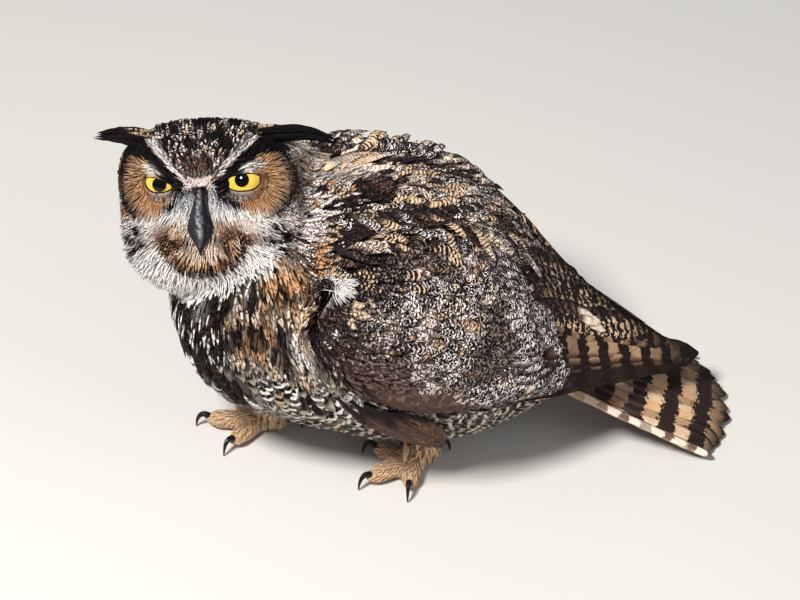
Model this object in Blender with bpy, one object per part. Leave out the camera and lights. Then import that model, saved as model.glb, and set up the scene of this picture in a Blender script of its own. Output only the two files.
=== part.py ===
"""Great horned owl, life size, crouched on flat ground with its head turned to its left.

Metres, +Z up.  The bird heads along -X, its left side faces -Y, and its toes and tail tips
stand on Z = 0.  Every solid gives the outer line of the plumage, out to the feather tips.
"""

import math

import bmesh
import bpy
from mathutils import Matrix, Quaternion, Vector

# ---------------------------------------------------------------- driving dimensions (m)
GAP = 0.0004  # clearance between neighbouring solids
CENTRING = Vector((-0.0067, 0.000, 0.0))  # puts the middle of the whole bird over the origin

# The head's frame has its origin between the eyes; in it X is forwards, Y left and Z up.
FACE_POINT = Vector((-0.1410, -0.0005, 0.2180))
HEAD_YAW = 70.0  # degrees the face is turned from the heading towards the bird's left
HEAD_PITCH = 33.0  # degrees the face looks up
HEAD_ROLL = 7.5  # degrees the crown leans over to the bird's right

# Rings of the head and the ruff: forward place, half width, height above, depth below, squareness.
HEAD_RINGS = (
    (-0.0420, 0.0620, 0.0365, 0.0700, 2.3),
    (-0.0290, 0.0612, 0.0385, 0.0740, 2.6),
    (-0.0190, 0.0592, 0.0385, 0.0740, 2.8),
    (-0.0120, 0.0575, 0.0375, 0.0680, 2.7),
)
FACE_HALF_WIDTH = 0.0560
FACE_ABOVE = 0.0360
FACE_BELOW = 0.0610
FACE_SQUARENESS = 2.5
FACE_RINGS = (0.98, 0.90, 0.80, 0.70, 0.60, 0.50, 0.40, 0.29, 0.18, 0.08)
RING_SIDES = 32

EYE_RADIUS = 0.0145
EYE_SPACING = 0.0252  # of each eye's centre from the middle plane
EYE_DEPTH = 0.0135  # of each eye's centre behind the face point
EYE_DIVERGENCE = 9.0  # degrees each eye looks outwards
CORNEA_RADIUS = 0.0118
CORNEA_BULGE = 0.0026

# The bill's middle line in the head's frame, forward and up, with its half depth and half width.
BILL_UPPER = (
    (-0.0030, -0.0020, 0.0075, 0.0062),
    (0.0035, -0.0100, 0.0088, 0.0078),
    (0.0072, -0.0190, 0.0082, 0.0080),
    (0.0086, -0.0280, 0.0066, 0.0066),
    (0.0092, -0.0360, 0.0045, 0.0045),
    (0.0098, -0.0428, 0.0019, 0.0020),
    (0.0098, -0.0450, 0.0005, 0.0006),
)
BILL_LOWER = (
    (-0.0030, -0.0220, 0.0042, 0.0066),
    (-0.0010, -0.0285, 0.0040, 0.0058),
    (0.0012, -0.0340, 0.0032, 0.0044),
    (0.0022, -0.0378, 0.0010, 0.0018),
)

# Each ear tuft's middle line in the head's frame, for its own side.
TUFTS = {
    "left": (
        (-0.011, 0.030, 0.0275),
        (-0.016, 0.047, 0.0300),
        (-0.026, 0.065, 0.0275),
        (-0.036, 0.0815, 0.0205),
    ),
    "right": (
        (-0.011, -0.029, 0.0275),
        (-0.018, -0.045, 0.0300),
        (-0.027, -0.062, 0.0300),
        (-0.036, -0.0785, 0.0290),
    ),
}
TUFT_HALF_WIDTH = 0.0078
TUFT_THICKNESS = 0.0042

NECK_FOOT = Vector((-0.070, 0.002, 0.132))
NECK_FOOT_RADIUS = 0.068
NECK_RINGS = 4

# Body sections from breast to vent: X, middle Y, middle Z, half width, height above, depth below.
BODY = (
    (-0.1660, 0.004, 0.118, 0.006, 0.006, 0.006),
    (-0.1610, 0.004, 0.117, 0.030, 0.030, 0.034),
    (-0.1460, 0.004, 0.116, 0.053, 0.050, 0.060),
    (-0.1240, 0.004, 0.115, 0.071, 0.066, 0.074),
    (-0.0950, 0.003, 0.115, 0.084, 0.078, 0.081),
    (-0.0600, 0.002, 0.114, 0.096, 0.087, 0.094),
    (-0.0200, 0.000, 0.112, 0.100, 0.090, 0.101),
    (0.0150, -0.002, 0.107, 0.096, 0.087, 0.099),
    (0.0450, -0.004, 0.099, 0.085, 0.084, 0.083),
    (0.0730, -0.006, 0.088, 0.068, 0.062, 0.061),
    (0.1000, -0.010, 0.075, 0.049, 0.037, 0.036),
    (0.1250, -0.015, 0.062, 0.034, 0.024, 0.017),
    (0.1430, -0.019, 0.053, 0.022, 0.013, 0.009),
    (0.1520, -0.021, 0.047, 0.006, 0.005, 0.004),
)
BODY_ABOVE_SQUARENESS = 2.25  # exponent of the sections; 2 is an ellipse
BODY_BELOW_SQUARENESS = 2.1
BODY_RINGS = 16
BODY_SIDES = 24

# The folded left wing's lower and upper edges, from wrist to tip.
WING_LOWER = (
    (-0.086, -0.074, 0.132),
    (-0.058, -0.098, 0.108),
    (-0.012, -0.104, 0.094),
    (0.032, -0.098, 0.087),
    (0.075, -0.082, 0.080),
    (0.115, -0.062, 0.067),
    (0.158, -0.040, 0.052),
    (0.193, -0.018, 0.036),
)
WING_UPPER = (
    (-0.082, -0.066, 0.178),
    (-0.054, -0.057, 0.196),
    (-0.012, -0.049, 0.197),
    (0.032, -0.038, 0.184),
    (0.070, -0.023, 0.151),
    (0.106, -0.013, 0.110),
    (0.150, -0.010, 0.076),
    (0.190, -0.013, 0.042),
)
WING_ALONG = (0.0, 0.055, 0.12, 0.20, 0.29, 0.38, 0.47, 0.56, 0.65, 0.74, 0.83, 0.92, 1.0)
WING_ACROSS = (0.0, 0.10, 0.22, 0.33, 0.44, 0.55, 0.66, 0.78, 0.90, 1.0)
COVERTS_END = 7  # place in WING_ALONG
PRIMARIES_TOP = 4  # place in WING_ACROSS
WING_CAMBER = 0.013  # how far the middle of the wing stands out from the line between its edges
WING_THICKNESS = 0.0115
TIP_THICKNESS = 0.0042
COVERT_STEP = 0.0020  # how far the coverts stand over the flight feathers
RIGHT_TIP_SHIFT = Vector((-0.006, -0.030, -0.003))  # the right wing's tip from the mirrored left tip

# The loose feathers hanging from the left wrist: front and rear edges, from top to tip.
ALULA_FRONT = (
    (-0.074, -0.088, 0.110),
    (-0.062, -0.093, 0.086),
    (-0.040, -0.091, 0.064),
    (-0.010, -0.087, 0.045),
)
ALULA_REAR = (
    (-0.012, -0.104, 0.092),
    (-0.002, -0.101, 0.080),
    (0.006, -0.096, 0.064),
    (0.004, -0.090, 0.047),
)
ALULA_THICKNESS = 0.0050

TAIL_ROOT = Vector((0.060, -0.008, 0.084))
TAIL_TIP = Vector((0.216, -0.037, 0.0000))
TAIL_FEATHERS = 12
TAIL_ROOT_WIDTH = 0.052
TAIL_TIP_WIDTH = 0.106
TAIL_THICKNESS = 0.0050

LEG_RADIUS = 0.0100
LEG_FLARE = 0.0150
TOE_RADIUS = 0.0078
CLAW_RADIUS = 0.0034
CLAW_REACH = 0.0105
# Each toe's heading (degrees from -X towards the outside) and length.
TOES = (("inner", -36.0, 0.031), ("middle", 16.0, 0.039), ("outer", 66.0, 0.029), ("hind", -164.0, 0.021))
FEET = (
    ("left", -1.0, Vector((-0.013, -0.054, 0.0)), 6.0, Vector((0.016, -0.042, 0.066))),
    ("right", 1.0, Vector((-0.110, 0.002, 0.0)), -4.0, Vector((-0.086, 0.010, 0.058))),
)

COLOURS = {
    "plumage_dark": (0.105, 0.068, 0.045),
    "plumage_buff": (0.46, 0.28, 0.14),
    "plumage_white": (0.72, 0.66, 0.58),
    "feet": (0.55, 0.36, 0.21),
    "horn": (0.035, 0.035, 0.040),
    "iris": (0.80, 0.55, 0.06),
    "tufts": (0.030, 0.022, 0.018),
}


# ---------------------------------------------------------------- small helpers
def clear_scene():
    for old in list(bpy.data.objects):
        bpy.data.objects.remove(old, do_unlink=True)


def finish(name, roughness=0.8):
    made = bpy.data.materials.new(name)
    made.use_nodes = True
    shader = made.node_tree.nodes["Principled BSDF"]
    shader.inputs["Base Color"].default_value = (*COLOURS[name], 1.0)
    shader.inputs["Roughness"].default_value = roughness
    return made


def through(rows, share):
    """Every column of the rows, read from a smooth curve at a share from 0 to 1."""
    count = len(rows) - 1
    at = min(max(share, 0.0), 1.0) * count
    i = min(int(at), count - 1)
    t = at - i
    near = [rows[min(max(i + k, 0), count)] for k in (-1, 0, 1, 2)]
    read = []
    for before, start, end, after in zip(*near):
        leave = (end - before) * 0.5
        arrive = (after - start) * 0.5
        read.append(
            start * (2 * t**3 - 3 * t**2 + 1)
            + leave * (t**3 - 2 * t**2 + t)
            + end * (3 * t**2 - 2 * t**3)
            + arrive * (t**3 - t**2)
        )
    return read


def hill(distance, reach):
    """1 at distance 0, falling smoothly to nothing at about twice the reach."""
    return math.exp(-((distance / reach) ** 2))


def smooth_step(low, high, value):
    t = min(max((value - low) / (high - low), 0.0), 1.0)
    return t * t * (3 - 2 * t)


def add_object(name, work, material):
    bmesh.ops.triangulate(work, faces=work.faces)
    bmesh.ops.recalc_face_normals(work, faces=work.faces)
    mesh = bpy.data.meshes.new(name)
    work.to_mesh(mesh)
    work.free()
    made = bpy.data.objects.new(name, mesh)
    bpy.context.scene.collection.objects.link(made)
    mesh.materials.append(material)
    mesh.shade_smooth()
    return made


def loft(name, rings, material):
    """A closed skin over rings of points; the first and last ring are closed with a fan."""
    work = bmesh.new()
    loops = [[work.verts.new(p + CENTRING) for p in ring] for ring in rings]
    for ring, following in zip(loops, loops[1:]):
        for i in range(len(ring)):
            j = (i + 1) % len(ring)
            work.faces.new((ring[i], ring[j], following[j], following[i]))
    for ring in (loops[0], loops[-1]):
        middle = work.verts.new(sum((v.co for v in ring), Vector()) / len(ring))
        for i in range(len(ring)):
            work.faces.new((ring[i], ring[(i + 1) % len(ring)], middle))
    return add_object(name, work, material)


def slab(name, outer, inner, material):
    """A closed plate between two equal grids of points."""
    work = bmesh.new()
    sheets = [[[work.verts.new(p + CENTRING) for p in row] for row in grid] for grid in (outer, inner)]
    rows, columns = len(outer), len(outer[0])
    for sheet in sheets:
        for r in range(rows - 1):
            for c in range(columns - 1):
                work.faces.new((sheet[r][c], sheet[r][c + 1], sheet[r + 1][c + 1], sheet[r + 1][c]))
    border = [(0, c) for c in range(columns)]
    border += [(r, columns - 1) for r in range(1, rows)]
    border += [(rows - 1, c) for c in range(columns - 2, -1, -1)]
    border += [(r, 0) for r in range(rows - 2, 0, -1)]
    for (r0, c0), (r1, c1) in zip(border, border[1:] + border[:1]):
        work.faces.new((sheets[0][r0][c0], sheets[0][r1][c1], sheets[1][r1][c1], sheets[1][r0][c0]))
    return add_object(name, work, material)


def ring_about(middle, side, up, half_side, above, below, sides, square_above=2.0, square_below=2.0):
    points = []
    for i in range(sides):
        a = 2 * math.pi * i / sides
        c, s = math.cos(a), math.sin(a)
        power = 2 / (square_above if s > 0 else square_below)
        half_up = above if s > 0 else below
        c = math.copysign(abs(c) ** power, c)
        s = math.copysign(abs(s) ** power, s)
        points.append(middle + side * (half_side * c) + up * (half_up * s))
    return points


def tube(name, line, widths, heights, side_hint, sides, material, floor=None):
    """A loft along a line of points, with a half width and a half height at each."""
    rings = []
    for k, middle in enumerate(line):
        along = (line[min(k + 1, len(line) - 1)] - line[max(k - 1, 0)]).normalized()
        side = (side_hint - along * side_hint.dot(along)).normalized()
        up = along.cross(side)
        ring = ring_about(middle, side, up, widths[k], heights[k], heights[k], sides)
        rings.append([grounded(p, floor) for p in ring] if floor is not None else ring)
    return loft(name, rings, material)


def grounded(point, least):
    return Vector((point.x, point.y, max(point.z, least)))


def keep_out(helper):
    """Keeps a helper out of the model."""
    helper.hide_render = True
    helper.display_type = "WIRE"
    return helper


def cut(target, *tools, grow=GAP):
    """Cuts the tools, grown by the gap, out of the target."""
    for tool in tools:
        cutter = tool.copy()
        cutter.data = tool.data.copy()
        cutter.name = "cutter_" + tool.name
        bpy.context.scene.collection.objects.link(cutter)
        swell = cutter.modifiers.new("swell", "DISPLACE")
        swell.strength = grow
        swell.mid_level = 0.0
        keep_out(cutter)
        carve = target.modifiers.new("cut_" + tool.name, "BOOLEAN")
        carve.operation = "DIFFERENCE"
        carve.object = cutter
        carve.solver = "EXACT"


def join(target, *tools):
    for tool in tools:
        keep_out(tool)
        weld = target.modifiers.new("join_" + tool.name, "BOOLEAN")
        weld.operation = "UNION"
        weld.object = tool
        weld.solver = "EXACT"


# ---------------------------------------------------------------- trunk
def make_trunk(material):
    rings = []
    for k in range(BODY_RINGS + 1):
        share = 0.5 * (0.5 - 0.5 * math.cos(math.pi * k / BODY_RINGS)) + 0.5 * k / BODY_RINGS
        x, y, z, half_width, above, below = through(BODY, share)
        rings.append(
            ring_about(
                Vector((x, y, z)), Vector((0, 1, 0)), Vector((0, 0, 1)),
                half_width, above, below, BODY_SIDES, BODY_ABOVE_SQUARENESS, BODY_BELOW_SQUARENESS,
            )
        )
    return loft("trunk", rings, material)


# ---------------------------------------------------------------- head and neck
def head_frame():
    """The head's placing, from its own frame to the world."""
    turn = Matrix.Rotation(math.pi + math.radians(HEAD_YAW), 4, "Z")
    pitch = Matrix.Rotation(-math.radians(HEAD_PITCH), 4, "Y")
    roll = Matrix.Rotation(math.radians(HEAD_ROLL), 4, "X")
    return Matrix.Translation(FACE_POINT) @ turn @ pitch @ roll


def face_point(share, around):
    """A point of the face: a shallow dome with discs, brows, a ridge to the bill and a chin."""
    c, s = math.cos(around), math.sin(around)
    power = 2 / FACE_SQUARENESS
    left = share * FACE_HALF_WIDTH * math.copysign(abs(c) ** power, c)
    up = share * (FACE_ABOVE if s > 0 else FACE_BELOW) * math.copysign(abs(s) ** power, s)
    rim = -0.0205 * c * c - 0.0115 * max(s, 0) ** 2 - 0.0040 * min(s, 0) ** 2
    forward = rim + (0.0035 - rim) * (1 - share**2.2)
    forward += 0.0018 * hill(share - 0.90, 0.07)
    for side in (-1, 1):
        forward -= 0.0060 * hill(math.hypot(left - side * 0.0262, up - 0.0005), 0.0135)
        brow = up - 0.0030 - 0.46 * (side * left - 0.008)
        along = smooth_step(0.004, 0.016, side * left) * (1 - smooth_step(0.036, 0.052, side * left))
        forward += 0.0066 * along * hill(brow - 0.0050, 0.0062)
    forward += 0.0068 * hill(left, 0.0100) * hill(up + 0.010, 0.0200)
    forward += 0.0065 * hill(left, 0.0250) * hill(up + 0.0480, 0.0150)
    return Vector((forward, left, up))


def head_rings(place):
    """The head's rings from the nape to the bill, in step with the neck's."""
    rings = []
    turns = [2 * math.pi * i / RING_SIDES for i in range(RING_SIDES)]
    for forward, half_side, above, below, square in HEAD_RINGS:
        ring = ring_about(
            Vector((forward, 0, 0)), Vector((0, 1, 0)), Vector((0, 0, 1)),
            half_side, above, below, RING_SIDES, 2.45, square,
        )
        rings.append([place @ p for p in ring])
    for share in FACE_RINGS:
        rings.append([place @ face_point(share, a) for a in turns])
    return rings


def make_head_and_neck(head_material, neck_material):
    """One skin from shoulders to face, parted behind the ears."""
    place = head_frame()
    rings = head_rings(place)
    nape = place @ Vector((HEAD_RINGS[0][0], 0, -0.006))
    facing = (place.to_3x3() @ Vector((1, 0, 0))).normalized()
    rise = (nape - NECK_FOOT).normalized()
    start = facing.rotation_difference(rise)
    reach = (nape - NECK_FOOT).length
    ends = [NECK_FOOT_RADIUS] * 3, [HEAD_RINGS[0][1], HEAD_RINGS[0][2] + 0.006, HEAD_RINGS[0][3] - 0.006]
    neck = []
    for k in range(NECK_RINGS):
        t = k / NECK_RINGS
        swing = start.slerp(Quaternion(), t)
        middle = NECK_FOOT * (2 * t**3 - 3 * t**2 + 1) + nape * (3 * t**2 - 2 * t**3)
        middle += rise * (0.9 * reach * (t**3 - 2 * t**2 + t)) + facing * (0.9 * reach * (t**3 - t**2))
        half, above, below = [a + (b - a) * t for a, b in zip(*ends)]
        side = swing @ (place.to_3x3() @ Vector((0, 1, 0)))
        up = swing @ (place.to_3x3() @ Vector((0, 0, 1)))
        neck.append(ring_about(middle, side, up, half, above, below, RING_SIDES, 2.2, 2.2))
    top = [p - facing * GAP for p in rings[0]]
    return place, loft("head", rings, head_material), loft("neck", [*neck, top], neck_material)


def make_eye(name, side, material, place):
    """An eyeball with its clear front bulging forwards."""
    stand = (
        place
        @ Matrix.Translation((-EYE_DEPTH, side * EYE_SPACING, 0))
        @ Matrix.Rotation(side * math.radians(EYE_DIVERGENCE), 4, "Z")
    )
    rings = []
    for k in range(1, 8):
        polar = math.pi * k / 8
        radius = EYE_RADIUS * math.sin(polar)
        forward = EYE_RADIUS * math.cos(polar)
        if forward > 0 and radius < CORNEA_RADIUS:
            forward += CORNEA_BULGE * (1 - (radius / CORNEA_RADIUS) ** 2)
        turns = [2 * math.pi * i / 12 for i in range(12)]
        rings.append([stand @ Vector((forward, radius * math.cos(a), radius * math.sin(a))) for a in turns])
    return loft(name, rings, material)


def make_bill(name, rows, material, place, sides=10):
    line = [place @ Vector((forward, 0, up)) for forward, up, _, _ in rows]
    side = place.to_3x3() @ Vector((0, 1, 0))
    return tube(name, line, [r[3] for r in rows], [r[2] for r in rows], side, sides, material)


def make_tuft(word, material, place):
    """A flat, curved horn of feathers laid outwards and back from the corner of the crown."""
    count = 6
    line = [place @ Vector(through(TUFTS[word], k / count)) for k in range(count + 1)]
    flat = place.to_3x3() @ Vector((0.55, 0, 0.83))
    taper = [max(math.sin(math.pi * (0.30 + 0.70 * k / count)) ** 0.75, 0.07) for k in range(count + 1)]
    widths = [TUFT_HALF_WIDTH * t for t in taper]
    heights = [TUFT_THICKNESS * t for t in taper]
    return tube(f"ear_tuft_{word}", line, widths, heights, flat, 8, material)


# ---------------------------------------------------------------- wings
def wing_point(side, along, across):
    """The outer face of a folded wing, and the way out: across runs from lower to upper edge."""
    low = Vector(through(WING_LOWER, along))
    high = Vector(through(WING_UPPER, along))
    out = Vector((1, 0, 0)).cross(high - low).normalized()
    if out.y > 0:
        out.negate()
    round_front = 0.30 * (1 - smooth_step(0.0, 0.13, along))
    squeezed = round_front + (1 - 2 * round_front) * across
    swell = WING_CAMBER * (1 - smooth_step(0.35, 1.0, along)) + 0.0035
    point = low.lerp(high, squeezed) + out * (swell * 4 * squeezed * (1 - squeezed))
    if side > 0:
        point = Vector((point.x, -point.y, point.z)) + RIGHT_TIP_SHIFT * smooth_step(0.3, 1.0, along)
        out = Vector((out.x, -out.y, out.z))
    return point, out


def wing_depth(along, across):
    """How far the inner face lies under the outer face."""
    depth = WING_THICKNESS + (TIP_THICKNESS - WING_THICKNESS) * smooth_step(0.35, 0.80, along)
    edge = min(across, 1 - across) / 0.22
    front = along / 0.10
    return depth * (0.35 + 0.65 * smooth_step(0, 1, min(edge, front)))


def trimmed(samples, first, last):
    """A stretch of the samples, drawn in by a hair at inner ends so that neighbours don't touch."""
    part = list(samples[first : last + 1])
    if first > 0:
        part[0] += 0.0028
    if last < len(samples) - 1:
        part[-1] -= 0.0028
    return part


def wing_piece(name, side, alongs, acrosses, lift, material, out_by=None):
    """A stretch of the wing as a plate; alternate samples stand up like tiled feathers."""
    outer, inner = [], []
    for along in alongs:
        outer_row, inner_row = [], []
        for c, across in enumerate(acrosses):
            point, out = wing_point(side, along, across)
            step = 0.0009 * (c % 2)
            outer_row.append(point + out * (lift + step if out_by is None else out_by))
            inner_row.append(point - out * wing_depth(along, across))
        outer.append(outer_row)
        inner.append(inner_row)
    return slab(name, outer, inner, material)


def make_wing(word, side, covert_material, flight_material):
    """The coverts, primaries and secondaries, and a block that makes room for them in the body."""
    last_along, last_across = len(WING_ALONG) - 1, len(WING_ACROSS) - 1
    front = trimmed(WING_ALONG, 0, COVERTS_END)
    rear = trimmed(WING_ALONG, COVERTS_END, last_along)
    low = trimmed(WING_ACROSS, 0, PRIMARIES_TOP)
    high = trimmed(WING_ACROSS, PRIMARIES_TOP, last_across)
    block = wing_piece(f"wing_{word}_block", side, WING_ALONG, WING_ACROSS, 0, covert_material, 0.05)
    pieces = [
        wing_piece(f"wing_{word}_coverts", side, front, WING_ACROSS, COVERT_STEP, covert_material),
        wing_piece(f"wing_{word}_primaries", side, rear, low, 0, flight_material),
        wing_piece(f"wing_{word}_secondaries", side, rear, high, 0, flight_material),
    ]
    return pieces, keep_out(block)


def make_alula(word, side, material):
    """The loose feathers at the wrist, as a tapering plate against the flank."""
    grids = {"outer": [], "inner": [], "far": []}
    for r in range(6):
        front = Vector(through(ALULA_FRONT, r / 5))
        rear = Vector(through(ALULA_REAR, r / 5))
        rows = {"outer": [], "inner": [], "far": []}
        for c in range(5):
            point = front.lerp(rear, c / 4)
            point.y -= 0.006 * 4 * (c / 4) * (1 - c / 4) * (1 - 0.7 * r / 5)
            depth = ALULA_THICKNESS * (1 - 0.5 * r / 5)
            for key, shift in (("outer", 0.0), ("inner", depth), ("far", -0.03)):
                moved = Vector((point.x, point.y + shift, point.z + shift * 0.25))
                rows[key].append(Vector((moved.x, -side * moved.y, moved.z)))
        for key in grids:
            grids[key].append(rows[key])
    block = slab(f"wing_{word}_alula_block", grids["far"], grids["inner"], material)
    return slab(f"wing_{word}_alula", grids["outer"], grids["inner"], material), keep_out(block)


# ---------------------------------------------------------------- tail
def make_tail(material):
    """Twelve feathers in a low fan, arched across, with their tips flat on the ground."""
    length = (TAIL_TIP - TAIL_ROOT).length
    along = (TAIL_TIP - TAIL_ROOT).normalized()
    side = along.cross(Vector((0, 0, 1))).normalized()
    up = side.cross(along).normalized()
    rows, columns = 5, TAIL_FEATHERS * 2
    outer, inner = [], []
    for r in range(rows + 1):
        share = r / rows
        half = 0.5 * (TAIL_ROOT_WIDTH + (TAIL_TIP_WIDTH - TAIL_ROOT_WIDTH) * share**0.75)
        thickness = TAIL_THICKNESS * (1 - 0.62 * share)
        outer_row, inner_row = [], []
        for c in range(columns + 1):
            across = 2 * c / columns - 1
            reach = share * (1 - 0.13 * across * across * share)
            if r == rows:
                reach -= 0.020 * ((c + 1) % 2)
            point = TAIL_ROOT + along * (length * reach) + side * (half * across)
            point += up * (-0.014 * across * across * (1 - 0.45 * share) + 0.0008 * (c % 2))
            outer_row.append(grounded(point, thickness))
            inner_row.append(grounded(point - up * thickness, 0.0))
        outer.append(outer_row)
        inner.append(inner_row)
    return slab("tail", outer, inner, material)


# ---------------------------------------------------------------- legs and feet
def toe_middle(pad, heading, length, share):
    """The toe's middle line, arched over its joints and lifted at its end over the claw."""
    flat = pad + heading * (length * share - 0.004 * (1 - share))
    return Vector((flat.x, flat.y, 0.0058 + 0.0008 * math.sin(math.pi * share) + 0.0030 * share**3))


def make_toe(name, pad, heading, length, material):
    line = [toe_middle(pad, heading, length, k / 5) for k in range(6)]
    radii = []
    for k in range(6):
        share = k / 5
        end = math.sqrt(max(1 - abs(2 * share - 1) ** 6, 0.10))
        radii.append(TOE_RADIUS * (1.0 - 0.15 * share + 0.06 * math.cos(share * 9.0)) * end)
    side = Vector((0, 0, 1)).cross(heading)
    return tube(name, line, [r * 0.92 for r in radii], radii, side, 8, material, 0.0)


def make_claw(name, pad, heading, toe_length, material):
    """A hooked claw from the toe's end down to the ground."""
    start = toe_middle(pad, heading, toe_length, 0.88)
    line, radii = [], []
    for k in range(6):
        share = k / 5
        rise = 0.0050 * math.sin(math.pi * share**0.8) - (start.z - 0.0003) * share**1.9
        line.append(start + heading * (CLAW_REACH * math.sin(math.pi / 2 * share)) + Vector((0, 0, rise)))
        radii.append(CLAW_RADIUS * max((1 - share) ** 0.7, 0.16))
    side = Vector((0, 0, 1)).cross(heading)
    return tube(name, line, [r * 0.85 for r in radii], radii, side, 6, material, 0.0)


def make_leg(word, pad, top, material):
    ankle = pad + Vector((0.004, 0, 0.0135))
    line = [ankle.lerp(top, k / 4) for k in range(5)]
    radii = [LEG_RADIUS + LEG_FLARE * (k / 4) ** 1.2 for k in range(5)]
    return tube(f"leg_{word}", line, radii, radii, Vector((1, 0, 0)), 12, material, 0.0006)


def make_foot(word, side, pad, turn, material, claw_material):
    """The toes, joined into one foot, and a claw on each."""
    toes, claws = [], []
    for label, angle, length in TOES:
        turned = math.radians(angle + turn)
        heading = Vector((-math.cos(turned), side * math.sin(turned), 0))
        name = f"toe_{word}_{label}" if toes else f"foot_{word}"
        toes.append(make_toe(name, pad, heading, length, material))
        claws.append(make_claw(f"claw_{word}_{label}", pad, heading, length, claw_material))
    join(toes[0], *toes[1:])
    cut(toes[0], *claws)
    return toes[0]


# ---------------------------------------------------------------- the whole bird
def main():
    clear_scene()
    dark = finish("plumage_dark")
    buff = finish("plumage_buff")
    white = finish("plumage_white")
    feet = finish("feet")
    horn = finish("horn", 0.35)
    iris = finish("iris", 0.12)
    black = finish("tufts")

    trunk = make_trunk(dark)
    place, head, neck = make_head_and_neck(buff, white)
    cut(trunk, neck, head)
    eyes = [make_eye("eye_left", 1, iris, place), make_eye("eye_right", -1, iris, place)]
    upper = make_bill("bill_upper", BILL_UPPER, horn, place)
    lower = make_bill("bill_lower", BILL_LOWER, horn, place, 8)
    tufts = [make_tuft(word, black, place) for word in TUFTS]
    cut(head, upper, lower, *eyes, *tufts)
    cut(neck, *tufts)
    cut(lower, upper)

    tail = make_tail(buff)
    cut(trunk, tail)
    for word, side in (("left", -1), ("right", 1)):
        pieces, block = make_wing(word, side, dark, buff)
        alula, alula_block = make_alula(word, side, dark)
        cut(trunk, block, alula_block)
        cut(alula, block)
        cut(tail, block)
    for word, side, pad, turn, top in FEET:
        leg = make_leg(word, pad, top, feet)
        foot = make_foot(word, side, pad, turn, feet, horn)
        cut(leg, foot)
        cut(trunk, leg)


main()
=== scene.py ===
# %% [markdown]
# # The plumage of a great horned owl, laid feather by feather
#
# A solid model gives the bird's true outline out to the feather tips.  This lesson dresses it:
# a smooth skin goes a coat's depth inside the solids, thousands of solid feathers are laid on
# it along the lie of the plumage, and eyes, bill and claws are finished apart.
# Everything is in metres, +Z up; the bird heads along -X and its left side faces -Y.

import math

import bpy
import numpy as np
from mathutils import Matrix, Vector
from mathutils.bvhtree import BVHTree


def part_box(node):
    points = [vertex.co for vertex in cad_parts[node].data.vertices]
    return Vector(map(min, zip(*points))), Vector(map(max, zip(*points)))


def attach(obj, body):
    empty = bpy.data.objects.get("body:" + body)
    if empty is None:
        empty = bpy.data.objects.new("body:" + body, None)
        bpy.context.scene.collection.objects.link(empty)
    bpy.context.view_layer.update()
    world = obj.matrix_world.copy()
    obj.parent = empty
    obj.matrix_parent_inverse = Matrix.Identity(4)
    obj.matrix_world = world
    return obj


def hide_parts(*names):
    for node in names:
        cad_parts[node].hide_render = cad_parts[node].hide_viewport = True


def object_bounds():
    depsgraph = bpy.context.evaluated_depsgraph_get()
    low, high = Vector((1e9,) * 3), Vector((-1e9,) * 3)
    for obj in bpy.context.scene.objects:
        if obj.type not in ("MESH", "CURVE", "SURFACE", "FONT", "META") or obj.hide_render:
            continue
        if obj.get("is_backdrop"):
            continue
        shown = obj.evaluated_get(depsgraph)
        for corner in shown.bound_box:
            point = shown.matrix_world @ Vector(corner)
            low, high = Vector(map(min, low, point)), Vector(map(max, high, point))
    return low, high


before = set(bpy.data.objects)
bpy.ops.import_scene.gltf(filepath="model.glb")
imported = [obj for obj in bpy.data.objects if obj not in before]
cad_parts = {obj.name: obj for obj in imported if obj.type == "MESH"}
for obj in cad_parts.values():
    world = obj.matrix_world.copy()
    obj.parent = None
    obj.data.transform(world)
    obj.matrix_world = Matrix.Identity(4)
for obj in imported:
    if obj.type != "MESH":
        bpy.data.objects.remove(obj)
CAD_BOX = [list(corner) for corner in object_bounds()]
MM = 0.001
print("the solids span", [round(high - low, 4) for low, high in zip(*CAD_BOX)])

# %% [markdown]
# ## Arrays first
#
# Blender's Python is slow when it walks over one vertex at a time.  Numpy works on whole arrays
# of points, so every helper below takes rows of points and gives rows of points back.

# %% Helpers for rows of points
def unit(rows):
    return rows / np.maximum(np.linalg.norm(rows, axis=-1, keepdims=True), 1e-12)


def dot(a, b):
    return (a * b).sum(-1, keepdims=True)


def flattened(rows, normals):
    """The rows with what sticks out along the normals taken off, at unit length."""
    return unit(rows - dot(rows, normals) * normals)


def length(rows):
    return np.linalg.norm(rows, axis=-1)


def rows_of(*values):
    """Rows from columns; a single number fills its column."""
    return np.stack(np.broadcast_arrays(*values), -1)


def ease(value, low, high):
    """0 below low, 1 above high, and a smooth curve between them; low may be the larger."""
    t = np.clip((value - low) / (high - low), 0, 1)
    return t * t * (3 - 2 * t)


def lump(distance, reach):
    return np.exp(-((distance / reach) ** 2))


def read(items, key, width, kind=np.int32):
    """One property of all of a mesh's vertices, edges, corners or triangles."""
    rows = np.empty(len(items) * width, kind)
    items.foreach_get(key, rows)
    return rows.reshape(-1, width)


def points_of(mesh):
    return read(mesh.vertices, "co", 3, np.float32).astype(float)


def triangles_of(mesh):
    mesh.calc_loop_triangles()
    return read(mesh.loop_triangles, "vertices", 3)


def smooth_normals(points, triangles):
    a, b, c = (points[triangles[:, k]] for k in range(3))
    face = np.cross(b - a, c - a)
    rows = np.zeros_like(points)
    for k in range(3):
        np.add.at(rows, triangles[:, k], face)
    return unit(rows)


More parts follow.
